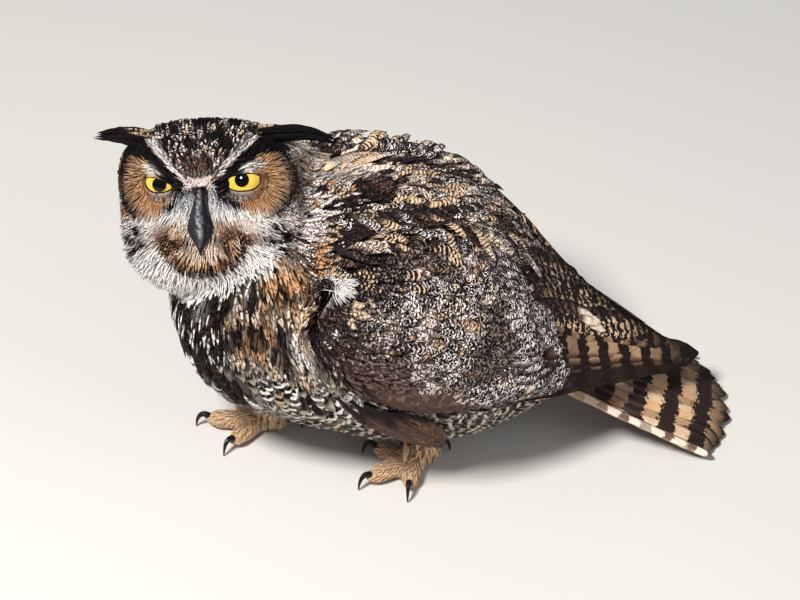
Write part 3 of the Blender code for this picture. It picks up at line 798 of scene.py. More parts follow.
def paint_under(paint, rows, mask, chance):
    lay = paint.within(mask)
    height, ahead = rows[:, 2] / MM, rows[:, 0] / MM
    patches, fine = cloud(rows, 0.009, 5), cloud(rows, 0.004, 6)
    lay(1.0, "white", (6.4, 0.68, 0.20), mark="black", under="umber", edge="cream", edging=0.2)
    lay(patches < 0.4, mark="brown")
    lay(ease(height, 96, 76) * 0.7, ground="cream", bars=(6.8, 0.72, 0.20))
    dark = whole_feathers(ease(fine, 0.44, 0.30) * ease(height, 136, 124) * ease(height, 70, 84), chance)
    lay(dark, ground="umber", tip="cream", mark="black", tipping=0.8, bars=(6.4, 0.5, 0.3))
    # Painted shade: the lower belly's colours darken towards the ground.
    paint.shade(mask * ease(height, 84, 56), 0.55)
    lay(ease(patches, 0.75, 0.95) * 0.6, ground="buff", tip="buff")
    upper = ease(height + 14 * patches, 118, 134) * ease(ahead, -74, -90)
    lay(upper, ground="cream", tip="buff", edge="buff", tipping=0.5, bars=(6.0, 0.26, 0.3))
    lay(upper * ease(fine, 0.5, 0.75), ground="tawny", tip="orange", mark="umber", bars=(6.0, 0.16, 0.3))
    lay(upper * ease(patches, 0.54, 0.40), ground="umber", tip="black", edge="umber", mark="brown",
        tipping=0.8, bars=(6.0, 0.2, 0.5))
    # The breast beyond the near flank is painted nearly black as shade, with white streaks left in it.
    beyond = rows[:, 1] / MM + 58 + 0.25 * np.clip(150 - height, 0, 60)
    shaded_far_side = ease(beyond, 4, 12) * ease(ahead + 44 * (patches - 0.5), -84, -116)
    shaded_far_side = shaded_far_side * ease(height + 30 * patches, 66, 90)
    lay(shaded_far_side, ground="black", tip="black", edge="umber", mark="brown", tipping=0.7,
        bars=(5.0, 0.16, 0.8))
    lay(shaded_far_side * (fine > 0.60) * (chance < 0.6), ground="white", tip="cream", mark="umber", edge="cream",
        bars=(6.0, 0.3, 0.6))
    for place, reach in PLUMES:
        lay(near(rows, place, reach) * (fine < 0.72), ground="orange", tip="buff", edge="tawny",
            under="rust", mark="umber", tipping=0.5, bars=(9.0, 0.08, 0.4))
    for place in BLOTCHES:
        lay(near(rows, place, 6.0) * (chance < 0.9), ground="black", tip="black", tipping=1.0, edge="black",
            mark="brown", bars=(6.0, 0.12, 0.8))
    streak = np.max([along_line(rows, *line) for line in STREAKS], axis=0)
    lay(streak, ground="white", tip="white", edge="cream", mark="umber", tipping=0.7, bars=(6.0, 0.12, 0.6))
    lay(ease(ahead, 64, 100), ground="cream", mark="rust", tip="cream", bars=(7.0, 0.35, 0.4))


# %% [markdown]
# ## The face
#
# The face reads like a mask.  From the bill's base a white V runs up both edges of the crown; a
# black band under it frowns over each eye; the discs are tawny, with a pale patch at the outer
# corner above and a black rim; pale bristles part round the bill; and below the chin a rusty
# U, edged in black, lies on the white throat.  `out` and `up` below are millimetres from the
# point between the eyes, on both sides alike.

# %% Paint the head
def portrait(head):
    """Forwards, outwards on either side, and up."""
    return head[:, 0], np.abs(head[:, 1]), head[:, 2]


def brow_height(out):
    """How high the line between the white V and the black band lies."""
    return -9.4 + 1.05 * np.clip(out - 2, 0, 38)


def chin_share(out, up):
    """1 on the rusty U under the chin, less inside it and more outside."""
    return np.hypot(out / 28, np.minimum(up + 34, 0) / 24)


def front_share(out, up):
    """1 on the outer line of the whole face, cheeks and chin included."""
    height = np.where(up > 0, 36.0, 61.0)
    return ((out / 56) ** 2.5 + (np.abs(up) / height) ** 2.5) ** 0.4


def disc_share(out, up):
    """1 on the outer line of the tawny facial disc."""
    return np.hypot(out / 56, (up + 2) / np.where(up > -2, 42.0, 35.0))


def lores_edge(up):
    """How far out the pale bristles beside the bill reach."""
    return 10.5 + 0.92 * np.clip(-up - 2, 0, 26)


def eye_opening(rows, side):
    """How far outside the opening between the lids each place lies, in mm."""
    local = ((rows - EYE_MIDDLES[side]) @ eye_axes(side).T) / MM
    reach = np.hypot(local[:, 1], local[:, 2])
    around = np.arctan2(local[:, 2], local[:, 1])
    return np.where(local[:, 0] > 0, reach - opening_reach(around, side), 50), local


def paint_neck(paint, rows, mask, chance):
    lay = paint.within(mask)
    patches = cloud(rows, 0.009, 23)
    lay(1.0, "umber", (2.3, 0.36, 0.85), ground="ash", mark="umber", under="down", tipping=0.1, edging=0.15)
    lay(whole_feathers(ease(patches, 0.66, 0.9), chance), ground="tawny", mark="umber",
        bars=(2.4, 0.40, 0.9))
    lay(chance < 0.12, ground="black", tip="black", tipping=0.8, mark="ash", bars=(2.2, 0.3, 1.0))
    pale = whole_feathers(along_line(rows, (-84, 28, 213), (-58, 38, 200), 19), chance)
    lay(pale, ground="cream", tip="cream", edge="cream", mark="earth", tipping=0.3, bars=(2.8, 0.2, 0.5))


def paint_crown(paint, head, mask, chance):
    lay = paint.lay
    ahead, out, up = portrait(head)
    over = up - brow_height(out)
    crown = mask * ease(over, 0.5, 2.5) * ease(ahead, -60, -44)
    lay(crown, ground="umber", tip="black", mark="ash", edge="black", edging=0.3, tipping=0.1,
        bars=(2.3, 0.50, 0.85))
    lay(crown * (chance < 0.14), ground="buff", tip="cream", mark="umber", tipping=0.6,
        bars=(2.4, 0.4, 1.0))
    lay(crown * (chance > 0.70), ground="black", tip="black", mark="brown", bars=(2.4, 0.2, 1.0))
    patches = cloud(head * MM, 0.007, 41)
    lay(crown * ease(patches, 0.60, 0.78), ground="black", tip="black", mark="umber", bars=(2.4, 0.2, 1.0))
    low_point = lump(np.hypot(out, (up - 9) * 0.8), 8) * (ahead > -14)
    lay(crown * low_point * 0.8, ground="brown", tip="umber", mark="rust", bars=(2.2, 0.35, 1.0))
    root = mask * ease(out, 10.5, 7.5) * ease(up - 0.25 * out, 4.6, 1.6) * (ahead > -14)
    lay(root, "ash", (4.0, 0.22, 1.0), tip="white", edge="white", mark="rust", tipping=0.5)
    high = ease(out, 12, 34)
    edge = lump(over - 2.4 - 2.0 * high, 2.3 + 1.4 * high) * ease(out, 46, 38) * (ahead > -34)
    lay(mask * edge * (1 - 0.9 * high * (chance > 0.62)), "ash", (4.0, 0.14, 0.9), tip="white",
        edge="white", mark="umber", tipping=0.6)


def paint_disc(paint, rows, head, face):
    lay = paint.lay
    _, out, up = portrait(head)
    over = up - brow_height(out)
    fine = cloud(rows, 0.003, 21)
    share = disc_share(out, up)
    disc = face * ease(share, 1.03, 0.97)
    lay(disc, "tawny", (8.0, 0.12, 0.8), under="rust", mark="rust", tipping=0.5)
    lay(disc * ease(fine, 0.50, 0.85) * 0.7, ground="buff", tip="cream")
    lay(disc * ease(fine, 0.36, 0.1) * 0.4, ground="rust", tip="rust")
    lay(disc * lump(np.hypot(out - 30, up + 16), 10) * 0.5, ground="orange", tip="orange", under="rust")
    lay(disc * ease(share, 0.80, 0.95) * 0.45, ground="down", tip="ash", under="brown")
    rim = lump(share - 1.01, 0.055) * ease(out, 36, 42) * ease(up, -30, -22)
    lay(face * rim * 1.2, ground="black", tip="black", under="black", mark="umber", tipping=1.0)
    reach = 7.5 * ease(out, 12, 20) + 0.05 * out
    band = ease(over, -3.6 - reach, -1.8 - reach) * ease(out, 6.5, 9.5)
    lay(face * band, "black", (9, 0.05, 1), mark="umber", tipping=1.0)
    patch = lump(np.hypot((out - 36) / 1.9, up - 9.6 - 0.12 * (out - 36)), 2.4)
    lay(face * patch * 1.8, "white", tipping=1.0)


def paint_lores(paint, head, face, chance):
    lay = paint.lay
    _, out, up = portrait(head)
    over = up - brow_height(out)
    edge = lores_edge(up)
    lores = face * ease(out, edge + 1.5, edge - 1.5) * ease(over, 0, -1) * ease(up, 2, -2)
    lay(lores, "white", (9, 0.10, 1.0), under="mist", mark="slate", tipping=0.8)
    lay(lores * ease(up, -4, -16) * (chance < 0.35), ground="mist", tip="ash")
    lay(lores * ease(out, 19, 13) * ease(out, 8, 11) * ease(up, -24, -8) * (chance < 0.45), ground="slate",
        tip="mist", under="slate")
    lay(lores * ease(out, 9.0, 7.0) * ease(up, -17, -21) * (chance < 0.5), ground="black", tip="slate",
        under="slate")
    duct = lump(np.hypot(out - 14.5, (up + 4) * 0.8), 4.6)
    lay(face * duct * 1.3, "black", tip="slate", tipping=0.4)
    line = lump((out - lores_edge(up + 4) - 1.5) / 3.2, 1.0) * ease(up, -22, -15) * ease(up, 0, -3)
    lay(face * line * 2.4 * (chance < 0.85), "black", tipping=1.0)


# Dark spots behind the cheek: how far out and up they lie, and their reach, in mm.
CHEEK_SPOTS = ((47, -31, 4.2), (52, -37, 4.6), (43, -40, 3.4), (50, -45, 3.8))


def paint_chin(paint, rows, head, mask, face, chance):
    lay = paint.lay
    ahead, out, up = portrait(head)
    patches = cloud(rows, 0.007, 31)
    low = face * ease(up + 0.10 * np.clip(out - 20, 0, 30), -20.5, -24.0)
    cheek = low * ease(disc_share(out, up), 0.96, 1.0)
    lay(cheek, "ash", (2.4, 0.30, 1.0), tip="umber", under="down", mark="umber", tipping=0.3)
    lay(low * ease(out, 54, 49), "white", (9, 0.1, 1.0), mark="ash", tipping=0.9)
    share = chin_share(out, up)
    chin = mask * ease(ahead, -24, -16) * ease(up, -24, -29)
    fine = cloud(rows, 0.0035, 33)
    inside = chin * ease(share, 0.98, 0.80)
    lay(inside, "cream", (8.0, 0.2, 1.0), ground="ash", tip="white", mark="buff", tipping=0.6)
    lay(inside * (chance < 0.2 + 0.4 * ease(up, -42, -52)), ground="buff", tip="cream")
    side = chin * lump(np.hypot((out - 23) / 1.15, up + 40 + 0.25 * (out - 23)), 12)
    lay(side * (0.35 + 0.65 * (fine > 0.25)) * 1.5, "tawny", (3.0, 0.40, 1.0), tip="cream", under="brown",
        mark="umber", tipping=0.5)
    lay(side * (patches > 0.36) * 1.4, ground="umber", tip="brown", under="black", mark="tawny",
        edge="earth", edging=0.3, tipping=0.5, bars=(3.0, 0.25, 1.0))
    floor = chin * ease(share, 0.74, 0.86) * ease(share, 1.10, 1.02) * ease(out, 22, 16)
    lay(floor, "orange", (5.0, 0.2, 1.0), ground="tawny", under="brown", mark="umber", tipping=0.6)
    lay(floor * (chance < 0.35), ground="rust", tip="rust")
    lay(floor * (fine > 0.55) * (chance < 0.7), ground="umber", tip="earth", under="black", tipping=0.4)
    lay(chin * lump(share - 1.08, 0.09) * ease(up, -36, -42) * 1.4, "black", tipping=0.6)
    bib = mask * ease(ahead, -40, -28) * ease(share, 1.12, 1.18) * ease(up, -38, -44)
    lay(bib, "white", (9.0, 0.06, 1.0), under="ash", mark="ash", tipping=0.7)
    lay(bib * (chance < 0.15), ground="mist", edge="ash")
    for spot_out, spot_up, reach in CHEEK_SPOTS:
        spot = lump(np.hypot(out - spot_out, up - spot_up), reach) * ease(ahead, -38, -26)
        lay(mask * spot * 1.4 * (chance < 0.8), "black", mark="umber", tipping=1.0)


def paint_head(paint, rows, mask, chance):
    head = to_head(rows)
    over = head[:, 2] - brow_height(np.abs(head[:, 1]))
    face = mask * ease(head[:, 0], -28, -21) * ease(over, 1.0, -0.5)
    paint_neck(paint, rows, mask, chance)
    paint_crown(paint, head, mask, chance)
    paint_disc(paint, rows, head, face)
    paint_lores(paint, head, face, chance)
    paint_chin(paint, rows, head, mask, face, chance)
    for side in (1, -1):
        gap, local = eye_opening(rows, side)
        near_eye = (length(local) < 21) & (local[:, 0] > 1)
        out = head[:, 1] * side
        below = near_eye * ease(local[:, 2], -1.0, -4.0) * ease(out, 37, 31) * ease(out, 16, 21)
        below = below * ease(gap, 8.5, 5.0)
        paint.lay(mask * below * (0.55 + 0.45 * (chance > 0.4)), "ash", (9, 0.16, 1.0), tip="white",
                  under="slate", mark="slate", tipping=0.5)
        corner = lump(np.hypot((out - 37) / 1.5, head[:, 2] - 2.6), 2.2)
        paint.lay(mask * np.maximum(near_eye * ease(gap, 2.6, 1.6), corner), "black", mark="black")


# %% [markdown]
# ## Legs, and all the parts together
#
# Even the toes are feathered, in plain tawny-buff.  The last function asks which part each place
# belongs to and calls the painters above in turn.

# %% Paint every part
def upperness(rows):
    """1 on the back and 0 on the breast and belly; the folded wings hide the line between."""
    height, ahead = rows[:, 2] / MM, rows[:, 0] / MM
    line = 128 + 55 * ease(ahead, -70, -92) - 0.6 * np.clip(ahead - 40, 0, 120)
    return ease(height - line, -8, 8)


def markings(rows, parts, chance):
    """The paint of feathers, or of skin, at rows of places that belong to some parts."""
    paint = Paint(len(rows), chance)
    head = to_head(rows)
    is_part = {name: (parts == i).astype(float) for i, name in enumerate(PARTS)}
    above = upperness(rows)
    body = np.clip(is_part["trunk"] + is_part["neck"] * ease(head[:, 0], -44, -60), 0, 1)
    paint_head(paint, rows, is_part["head"] + is_part["neck"], chance)
    paint_under(paint, rows, body * (1 - above), chance)
    paint_back(paint, rows, body * above, chance)
    paint_wing(paint, rows, is_part["wing"], chance)
    ahead, out, up = portrait(head)
    lowest = -71 + 20 * (out / 52) ** 2
    throat = ease(chin_share(out, up), 1.1, 1.2) * ease(up, lowest - 3, lowest + 3) * ease(ahead, -34, -24)
    throat = throat * ease(out, 52, 44) * body
    paint.lay(throat, "white", (9.0, 0.06, 1.0), mark="ash")
    legs = is_part["leg"] + is_part["foot"]
    paint.lay(legs, "buff", (6.0, 0.15, 1.0), tip="cream", under="tawny", mark="tawny", tipping=0.3)
    return paint.rows

# %% [markdown]
# ## Shader maths as plain expressions
#
# A material is a graph of nodes.  Wrapping a socket in a small class lets the graph be written
# the way a formula is: `1 - mask * 0.5` adds its own Math nodes.

# %% A socket that can be calculated with
class Value:
    """One output socket; arithmetic on it adds Math nodes to its tree."""

    def __init__(self, tree, socket):
        self.tree, self.socket = tree, socket

    def maths(self, operation, *values):
        return Graph(self.tree).node("Math", {"operation": operation}, *(values or [self]))[0]

    def __add__(self, other):
        return self.maths("ADD", self, other)

    def __sub__(self, other):
        return self.maths("SUBTRACT", self, other)

    def __rsub__(self, other):
        return self.maths("SUBTRACT", other, self)

    def __mul__(self, other):
        return self.maths("MULTIPLY", self, other)

    def __truediv__(self, other):
        return self.maths("DIVIDE", self, other)

    __radd__, __rmul__ = __add__, __mul__

    def eased(self, low, high):
        """0 below low and 1 above high, with a smooth curve between."""
        settings = {"interpolation_type": "SMOOTHSTEP"}
        return Graph(self.tree).node("MapRange", settings, self, low, high)[0]


class Graph:
    """A material's nodes, added by type with settings first and then the sockets' values or links."""

    def __init__(self, tree):
        self.tree = tree

    def node(self, kind, settings=None, *values, **named):
        made = self.tree.nodes.new("ShaderNode" + kind)
        for key, value in (settings or {}).items():
            setattr(made, key, value)
        for key, value in [*enumerate(values), *named.items()]:
            socket = made.inputs[key.replace("_", " ") if isinstance(key, str) else key]
            if isinstance(value, Value):
                self.tree.links.new(value.socket, socket)
            elif value is not None:
                socket.default_value = value
        return [Value(self.tree, socket) for socket in made.outputs]

    def mix(self, share, *colours):
        """A colour between two, by Mix's own sockets for colours."""
        return self.node("Mix", {"data_type": "RGBA"}, share, *[None] * 5, *colours)[2]

    def dim(self, colour, share):
        """A colour multiplied by a number."""
        return self.node("VectorMath", {"operation": "SCALE"}, colour, Scale=share)[0]

    def noise(self, place, scale, detail=2.0):
        return self.node("TexNoise", None, Vector=place, Scale=scale, Detail=detail)[0]

    def vector(self, x, y, z):
        return self.node("CombineXYZ", None, x, y, z)[0]

    def attribute(self, name):
        """A mesh attribute as its colour, vector and factor."""
        return self.node("Attribute", {"attribute_name": name})


def new_material(name, **uniform):
    """A material, its graph and its Principled shader, with the uniform sockets set."""
    material = bpy.data.materials.new(name)
    material.use_nodes = True
    shader = material.node_tree.nodes["Principled BSDF"]
    for key, value in uniform.items():
        shader.inputs[key.replace("_", " ")].default_value = value
    return material, Graph(material.node_tree), shader


def feed(graph, shader, **links):
    for key, value in links.items():
        graph.tree.links.new(value.socket, shader.inputs[key.replace("_", " ")])


# %% [markdown]
# ## The finish of a feather
#
# A feather's cross bars are arcs round its root, so their phase is the distance from the root
# across and along the vane.  An owl's back has no such neat bars but broken, wavy dashes: noise
# bends the bars and breaks them up as the waviness rises, and leaves calm dark patches between.
# Fine streaks run outwards along the barbs in colour and in relief.

# %% The plumage material
def plumage_material(name, relief=0.25, streaks=0.30):
    material, graph, shader = new_material(name, Roughness=0.8, Specular_IOR_Level=0.12)
    ground, mark = graph.attribute("ground")[0], graph.attribute("mark")[0]
    pitch, share, wave = graph.node("SeparateXYZ", None, graph.attribute("barring")[1])
    across, along, own = graph.node("SeparateXYZ", None, graph.attribute("place")[1])
    bend = graph.noise(graph.vector(across * 0.9, along, own * 0.01), 380.0, 2.0) - 0.5
    radius = (across * across * (wave * 4.0 + 1.5) + along * along + 1e-8).maths("SQRT")
    phase = radius * pitch + bend * (wave * 2.6 + 0.5) * (pitch * 0.0024).maths("SQRT") + own
    bars = (phase * (2 * math.pi)).maths("SINE") * 0.5 + 0.5
    breaks = graph.noise(graph.vector(across * pitch * 1.3, phase * 1.1, own * 0.37), 1.0, 2.0)
    calm = graph.noise(graph.vector(across, along * 0.8, own * 0.1), 190.0, 1.0).eased(0.36, 0.60)
    local = share * (1 - wave * 0.25 + wave * calm * 0.5)
    gate = 1 - wave * (1 - (breaks + calm * 0.10).eased(0.47, 0.57))
    cover = ((bars - 1 + local) * 5.0 + 0.5).eased(0.0, 1.0) * gate
    barb = along - across.maths("ABSOLUTE") * 0.8
    streak = graph.noise(graph.vector(barb * 5.5, across * 0.8, own), 430.0, 2.0)
    colour = graph.mix(cover, ground, mark)
    shaft = 1 - across.maths("ABSOLUTE").eased(0.00010, 0.00034)
    tone = graph.noise(graph.vector(across, along, own), 120.0, 1.0)
    bright = 1 + (streak - 0.5) * (2 * streaks) + (tone - 0.5) * 0.5 - shaft * 0.10
    colour = graph.dim(colour, bright)
    bump = graph.node("Bump", None, Strength=relief, Distance=0.0006, Height=streak)[0]
    feed(graph, shader, Base_Color=colour, Normal=bump)
    return material


PLUMAGE = plumage_material("feather_vane")
BRISTLE = plumage_material("fine_bristle", relief=0.1, streaks=0.12)
SKIN_FINISH = plumage_material("downy_skin", relief=0.35)
print("three plumage finishes")

# %% [markdown]
# ## Which feather goes where
#
# A bake map needs every feather to own a patch of it.  The skin is unwrapped once, on a coarse
# copy that is quick to cut into islands, and each feather's patch sits at its root's place there.

# %% Unwrap a coarse copy of the skin
UNWRAP_VOXEL = 5 * MM


def unwrapped_copy():
    """A coarse skin's points, triangles and, for each triangle, the corners' places on the map."""
    whole = mesh_from("unwrap", skin_points, [skin_triangles])
    coarse = with_modifiers(whole, ("REMESH", {"mode": "VOXEL", "voxel_size": UNWRAP_VOXEL}))
    helper = new_object("unwrap", coarse)
    bpy.context.view_layer.objects.active = helper
    helper.select_set(True)
    bpy.ops.object.mode_set(mode="EDIT")
    bpy.ops.mesh.select_all(action="SELECT")
    bpy.ops.uv.smart_project(angle_limit=math.radians(66), island_margin=0.004)
    bpy.ops.object.mode_set(mode="OBJECT")
    places = read(coarse.uv_layers.active.data, "uv", 2, np.float32)
    made = points_of(coarse), triangles_of(coarse), places[read(coarse.loop_triangles, "loops", 3)]
    bpy.data.objects.remove(helper)
    return made


flat_points, flat_triangles, flat_places = unwrapped_copy()
flat_tree = search_tree(flat_points, flat_triangles)


def map_places(rows):
    """The places on the unwrapped skin that are nearest to some points."""
    made = np.empty((len(rows), 2))
    for i, p in enumerate(rows):
        place, _, face, _ = flat_tree.find_nearest(Vector(p))
        a, b, c = flat_points[flat_triangles[face]]
        ab, ac, ap = b - a, c - a, np.array(place) - a
        d00, d01, d11, d20, d21 = ab @ ab, ab @ ac, ac @ ac, ap @ ab, ap @ ac
        whole = max(d00 * d11 - d01 * d01, 1e-20)
        v, w = (d11 * d20 - d01 * d21) / whole, (d00 * d21 - d01 * d20) / whole
        made[i] = np.clip([1 - v - w, v, w], 0, 1) @ flat_places[face]
    return made


print("the coarse skin has", len(flat_triangles), "triangles on its map")


# %% Turn a batch of vanes into a piece
def add_attribute(mesh, name, rows, kind="VECTOR"):
    if kind == "COLOR":
        rows = np.concatenate([rows, np.ones((len(rows), 1))], 1)
    layer = mesh.attributes.new(name, "FLOAT_" + kind, "POINT")
    layer.data.foreach_set(kind.lower(), rows.astype(np.float32).ravel())


def paint_attributes(mesh, made):
    for name, kind in (("ground", "COLOR"), ("mark", "COLOR"), ("barring", "VECTOR"), ("place", "VECTOR")):
        add_attribute(mesh, name, made[name], kind)


def add_coat(name, batches, material=PLUMAGE, replaces=()):
    """A coat piece from batches of vanes, with each vane's patch on the bake map."""
    made = merged(batches)
    mesh = mesh_from(name, made["points"], made["faces"])
    paint_attributes(mesh, made)
    roots, index = np.unique(made["root"].round(6), axis=0, return_inverse=True)
    places = map_places(roots)[index.reshape(-1)] + made["patch"] - PATCH / 2
    places = np.clip(places[read(mesh.loops, "vertex_index", 1)[:, 0]], 0, 1)
    mesh.uv_layers.new(name="OFBake").data.foreach_set("uv", places.astype(np.float32).ravel())
    triangles = sum(len(block) * (block.shape[1] - 2) for block in made["faces"])
    print(f"{name}: {len(roots)} feathers, {triangles} triangles")
    add_piece(name, mesh, material, replaces)


# %% Show the skin
# How far outside the skin its paint is taken, in mm, which is about where the feathers lie.
PAINT_LIFT = {"trunk": 8.0, "neck": 7.0, "head": 3.5, "leg": 2.0, "foot": 1.0, "wing": 4.0}
skin_made = mesh_from("skin", skin_points, [skin_triangles])
skin_chance = cloud(skin_points, 0.004, 2)
skin_lift = by_part(PAINT_LIFT, skin_parts)
skin_paint = markings(skin_points + skin_normals * skin_lift[:, None], skin_parts, skin_chance)
skin_paint["place"] = rows_of(skin_points[:, 1] * 0.4, skin_points[:, 0] + 0.4, 0.0)
# The skin that shows between the feathers is dimmed and mixed with their under colour: the downy bases' own
# colour and painted shade in the gaps.
skin_paint["ground"] = skin_paint["ground"] * 0.6 + skin_paint["under"] * 0.2
paint_attributes(skin_made, skin_paint)
add_piece("skin", skin_made, SKIN_FINISH, FLESH)

# %% [markdown]
# ## Planting a tract
#
# Feathers grow in tracts, each with its own size, spacing and lie.  One function plants any of
# them: it sows roots on the chosen skin, asks for their lie and size there, walks the shafts,
# lifts them from a low root to a high tip, and paints each feather as the place it covers.

# %% Plant a tract of feathers
PAINT_AT = 0.75  # how far along a feather its colours are taken
LIFT_POWER = 0.8
NECK_MIDDLE = from_head((-40, 0, -10))  # the bars of neighbouring feathers line up in arcs round it
skin_centres = skin_points[skin_triangles].mean(1)
centre_parts = skin_parts[skin_triangles[:, 0]]
centre_head = to_head(skin_centres)


def asked(value, roots):
    """A value that may be a number or a function of the roots."""
    return value(roots) if callable(value) else np.full(len(roots), float(value))


def plant(chosen, spacing, lie, reach, half_width, rise, rows=7, across=5, camber=0.25, thickness=0.35,
          spread=10.0, tip_start=0.62, root_width=0.35, fray=0.16, low=0.25, curl=0.0, thin=None):
    """One tract; lengths are in mm, the spread of the lie in degrees."""
    roots, normals = sow(chosen, spacing * MM)
    if thin is not None:
        kept = rng.random(len(roots)) < thin(roots)
        roots, normals = roots[kept], normals[kept]
    count = len(roots)
    chance = rng.random(count)
    heading = flattened(lie(roots), normals)
    swing = np.radians(spread) * rng.normal(size=(count, 1))
    heading = heading * np.cos(swing) + np.cross(normals, heading) * np.sin(swing)
    reach = asked(reach, roots) * MM * rng.uniform(0.85, 1.15, count)
    width = asked(half_width, roots) * MM * rng.uniform(0.85, 1.12, count)
    stations = stations_for(rows)
    shafts, uprights = walk(roots, normals, heading, reach, stations)
    depth = (asked(rise, roots) * MM * rng.uniform(0.82, 1.12, count))[:, None]
    lift = depth * (low + (1 - low) * stations**LIFT_POWER) + curl * MM * stations**3
    shafts = shafts + uprights * lift[..., None]
    paint = markings(shafts[:, int(PAINT_AT * (rows - 1))], nearest_parts(roots), chance)
    start = length(roots - NECK_MIDDLE) * paint["barring"][:, 0]
    paint["offset"] = start + chance * (0.2 + 37 * ease(paint["barring"][:, 2], 0.3, 0.6))
    widths = width[:, None] * outline(stations, tip_start, root_width)
    return vanes(shafts, uprights, widths, camber, thickness * MM, paint, fray, across)


def on_part(*names):
    return np.isin(centre_parts, [PARTS.index(name) for name in names])


# %% [markdown]
# ## The lie of the plumage
#
# On the body every feather points towards the tail, sinking a little over the flanks.  On the
# breast the feathers hang down, and near the neck they run away from it, so the three directions
# are blended by place.

# %% The lie on body and wings
def body_lie(rows):
    backwards, down = np.array([1.0, 0.0, -0.16]), np.array([0.25, 0.0, -1.0])
    away = rows - NECK_MIDDLE
    distance = np.linalg.norm(away, axis=1, keepdims=True)
    breast = (1 - upperness(rows))[:, None] * ease(rows[:, :1] / MM, -60, -110)
    return backwards * (1 - breast) + down * breast + unit(away) * (1.3 * lump(distance, 0.075))


def scapular_lie(rows):
    """Back and outwards, over the wing's upper edge."""
    return rows_of(1.0, np.sign(rows[:, 1]) * 0.75, -0.35)


def wing_lie(rows):
    return rows_of(1.0, 0.0, -(ease(rows[:, 0] / MM, -60, -90) * 0.5 + 0.20))


def fringe_lie(rows):
    """Down, back and outwards, over the front edge of the wing."""
    return rows_of(0.45, 0.35 * np.sign(rows[:, 1]), -0.85)


def breast_rise(rows):
    """Fuller beside the wing, to close the gap to its front edge."""
    return 8.0 + 3.5 * ease(np.abs(rows[:, 1]) / MM, 64, 76)


# %% Body feathers
BROAD = {"fray": 0.35, "thickness": 0.22, "camber": 0.15}
SLIM = {"rows": 6, "across": 3, "fray": 0.4, "spread": 13, "thickness": 0.2, "camber": 0.15}
ahead, out, height = skin_centres[:, 0], np.abs(skin_centres[:, 1]), skin_centres[:, 2]
body_skin = on_part("trunk") | (on_part("neck") & (centre_head[:, 0] < -52))
over_skin = upperness(skin_centres) > 0.5
mantle = body_skin & over_skin & (ahead < -0.052)
high_breast = body_skin & ~over_skin & (ahead < -0.070) & (height > 0.120)
belly_skin = body_skin & ~over_skin & ~high_breast
fringe_skin = body_skin & (out > 0.056) & (height > 0.136) & (height < 0.184)
fringe_skin &= (ahead > -0.104) & (ahead < -0.072)
scapular = body_skin & over_skin & (ahead < 0.055) & (ahead > -0.070) & (out > 0.022) & (height > 0.160)
back = plant(body_skin & over_skin & ~mantle, 3.1, body_lie, 17, 3.7, 8.0, spread=14, low=0.45, curl=-0.8,
             **BROAD)
mantle_front = plant(mantle, 2.1, body_lie, 13, 2.0, 8.0, across=3, fray=0.35, spread=14, low=0.5,
                     thickness=0.2, camber=0.15, curl=-0.6)
breast = plant(high_breast, 1.75, body_lie, 15, 1.2, breast_rise, low=0.6, **SLIM)
fringe = plant(fringe_skin, 1.7, fringe_lie, 17, 1.3, 13.0, low=0.7, **SLIM)
belly = plant(belly_skin, 4.3, body_lie, 22, 5.2, 8.4, spread=12, low=0.5, curl=-0.8, **BROAD)
scapulars = plant(scapular, 3.9, scapular_lie, 25, 3.4, 10.0, spread=9, low=0.75, curl=-2.2, **BROAD)
add_coat("coat_back", [back, mantle_front, scapulars])
add_coat("coat_breast", [breast, fringe])
add_coat("coat_belly", [belly])

# %% Wing coverts
WINGS = (("left", -1), ("right", 1))  # the left side faces -Y


def wing_size(smallest, largest):
    return lambda rows: smallest + (largest - smallest) * ease(rows[:, 0] / MM, -85, 30)


at_wrist = ahead < -0.042
for word, side in WINGS:
    chosen = on_part("wing") & (skin_centres[:, 1] * side > 0)
    small = plant(chosen & at_wrist, 2.2, wing_lie, 12, 2.1, 4.8, across=3, spread=12, fray=0.3, low=0.4)
    large = plant(chosen & ~at_wrist, 3.3, wing_lie, wing_size(13, 22), wing_size(3.0, 5.6), 4.8, spread=14,
                  low=0.4, curl=-0.5, **BROAD)
    add_coat(f"coat_wing_{word}", [small, large])

# %% [markdown]
# ## The wing's own map
#
# Flight feathers don't follow the skin: they lie in the flat blade of the folded wing.  Its
# solids give that blade.  A station along the body and a share from lower to upper edge name a
# place on it, and a ray from outside finds the surface there.

# %% Places on the folded wings
# The folded wing's lower and upper edge on the left side, in mm, from the wrist to the tip.
WING_LOWER = np.array([(-93, -74, 132), (-65, -98, 108), (-19, -104, 94), (25, -98, 87), (68, -82, 80),
                       (108, -62, 67), (151, -40, 52), (186, -18, 36)])
WING_UPPER = np.array([(-89, -66, 178), (-61, -57, 196), (-19, -49, 197), (25, -38, 184), (63, -23, 151),
                       (99, -13, 110), (143, -10, 76), (183, -13, 42)])
RIGHT_TIP_SHIFT = np.array([-6.0, -30.0, -3.0])
BLADE = ("coverts", "primaries", "secondaries")
WING_TREES = {
    side: search_tree(*stacked([solid(f"wing_{word}_{part}") for part in BLADE])) for word, side in WINGS
}
WING_RAY, TAIL_RAY = 0.05, 0.1  # how far outside a surface the rays towards it start


def line_places(line, stops, share):
    """Places on a line through some corners, whose stops say at what share each comes."""
    return np.stack([np.interp(share, stops, column) for column in line.T], -1)


def cast_onto(tree, rows, out, distance):
    """The rows where rays from outside meet a surface; rows that no ray finds stay."""
    found = rows.copy()
    for index in np.ndindex(rows.shape[:-1]):
        hit = tree.ray_cast(Vector(rows[index] + out[index] * distance), Vector(-out[index]))[0]
        if hit is not None:
            found[index] = hit
    return found


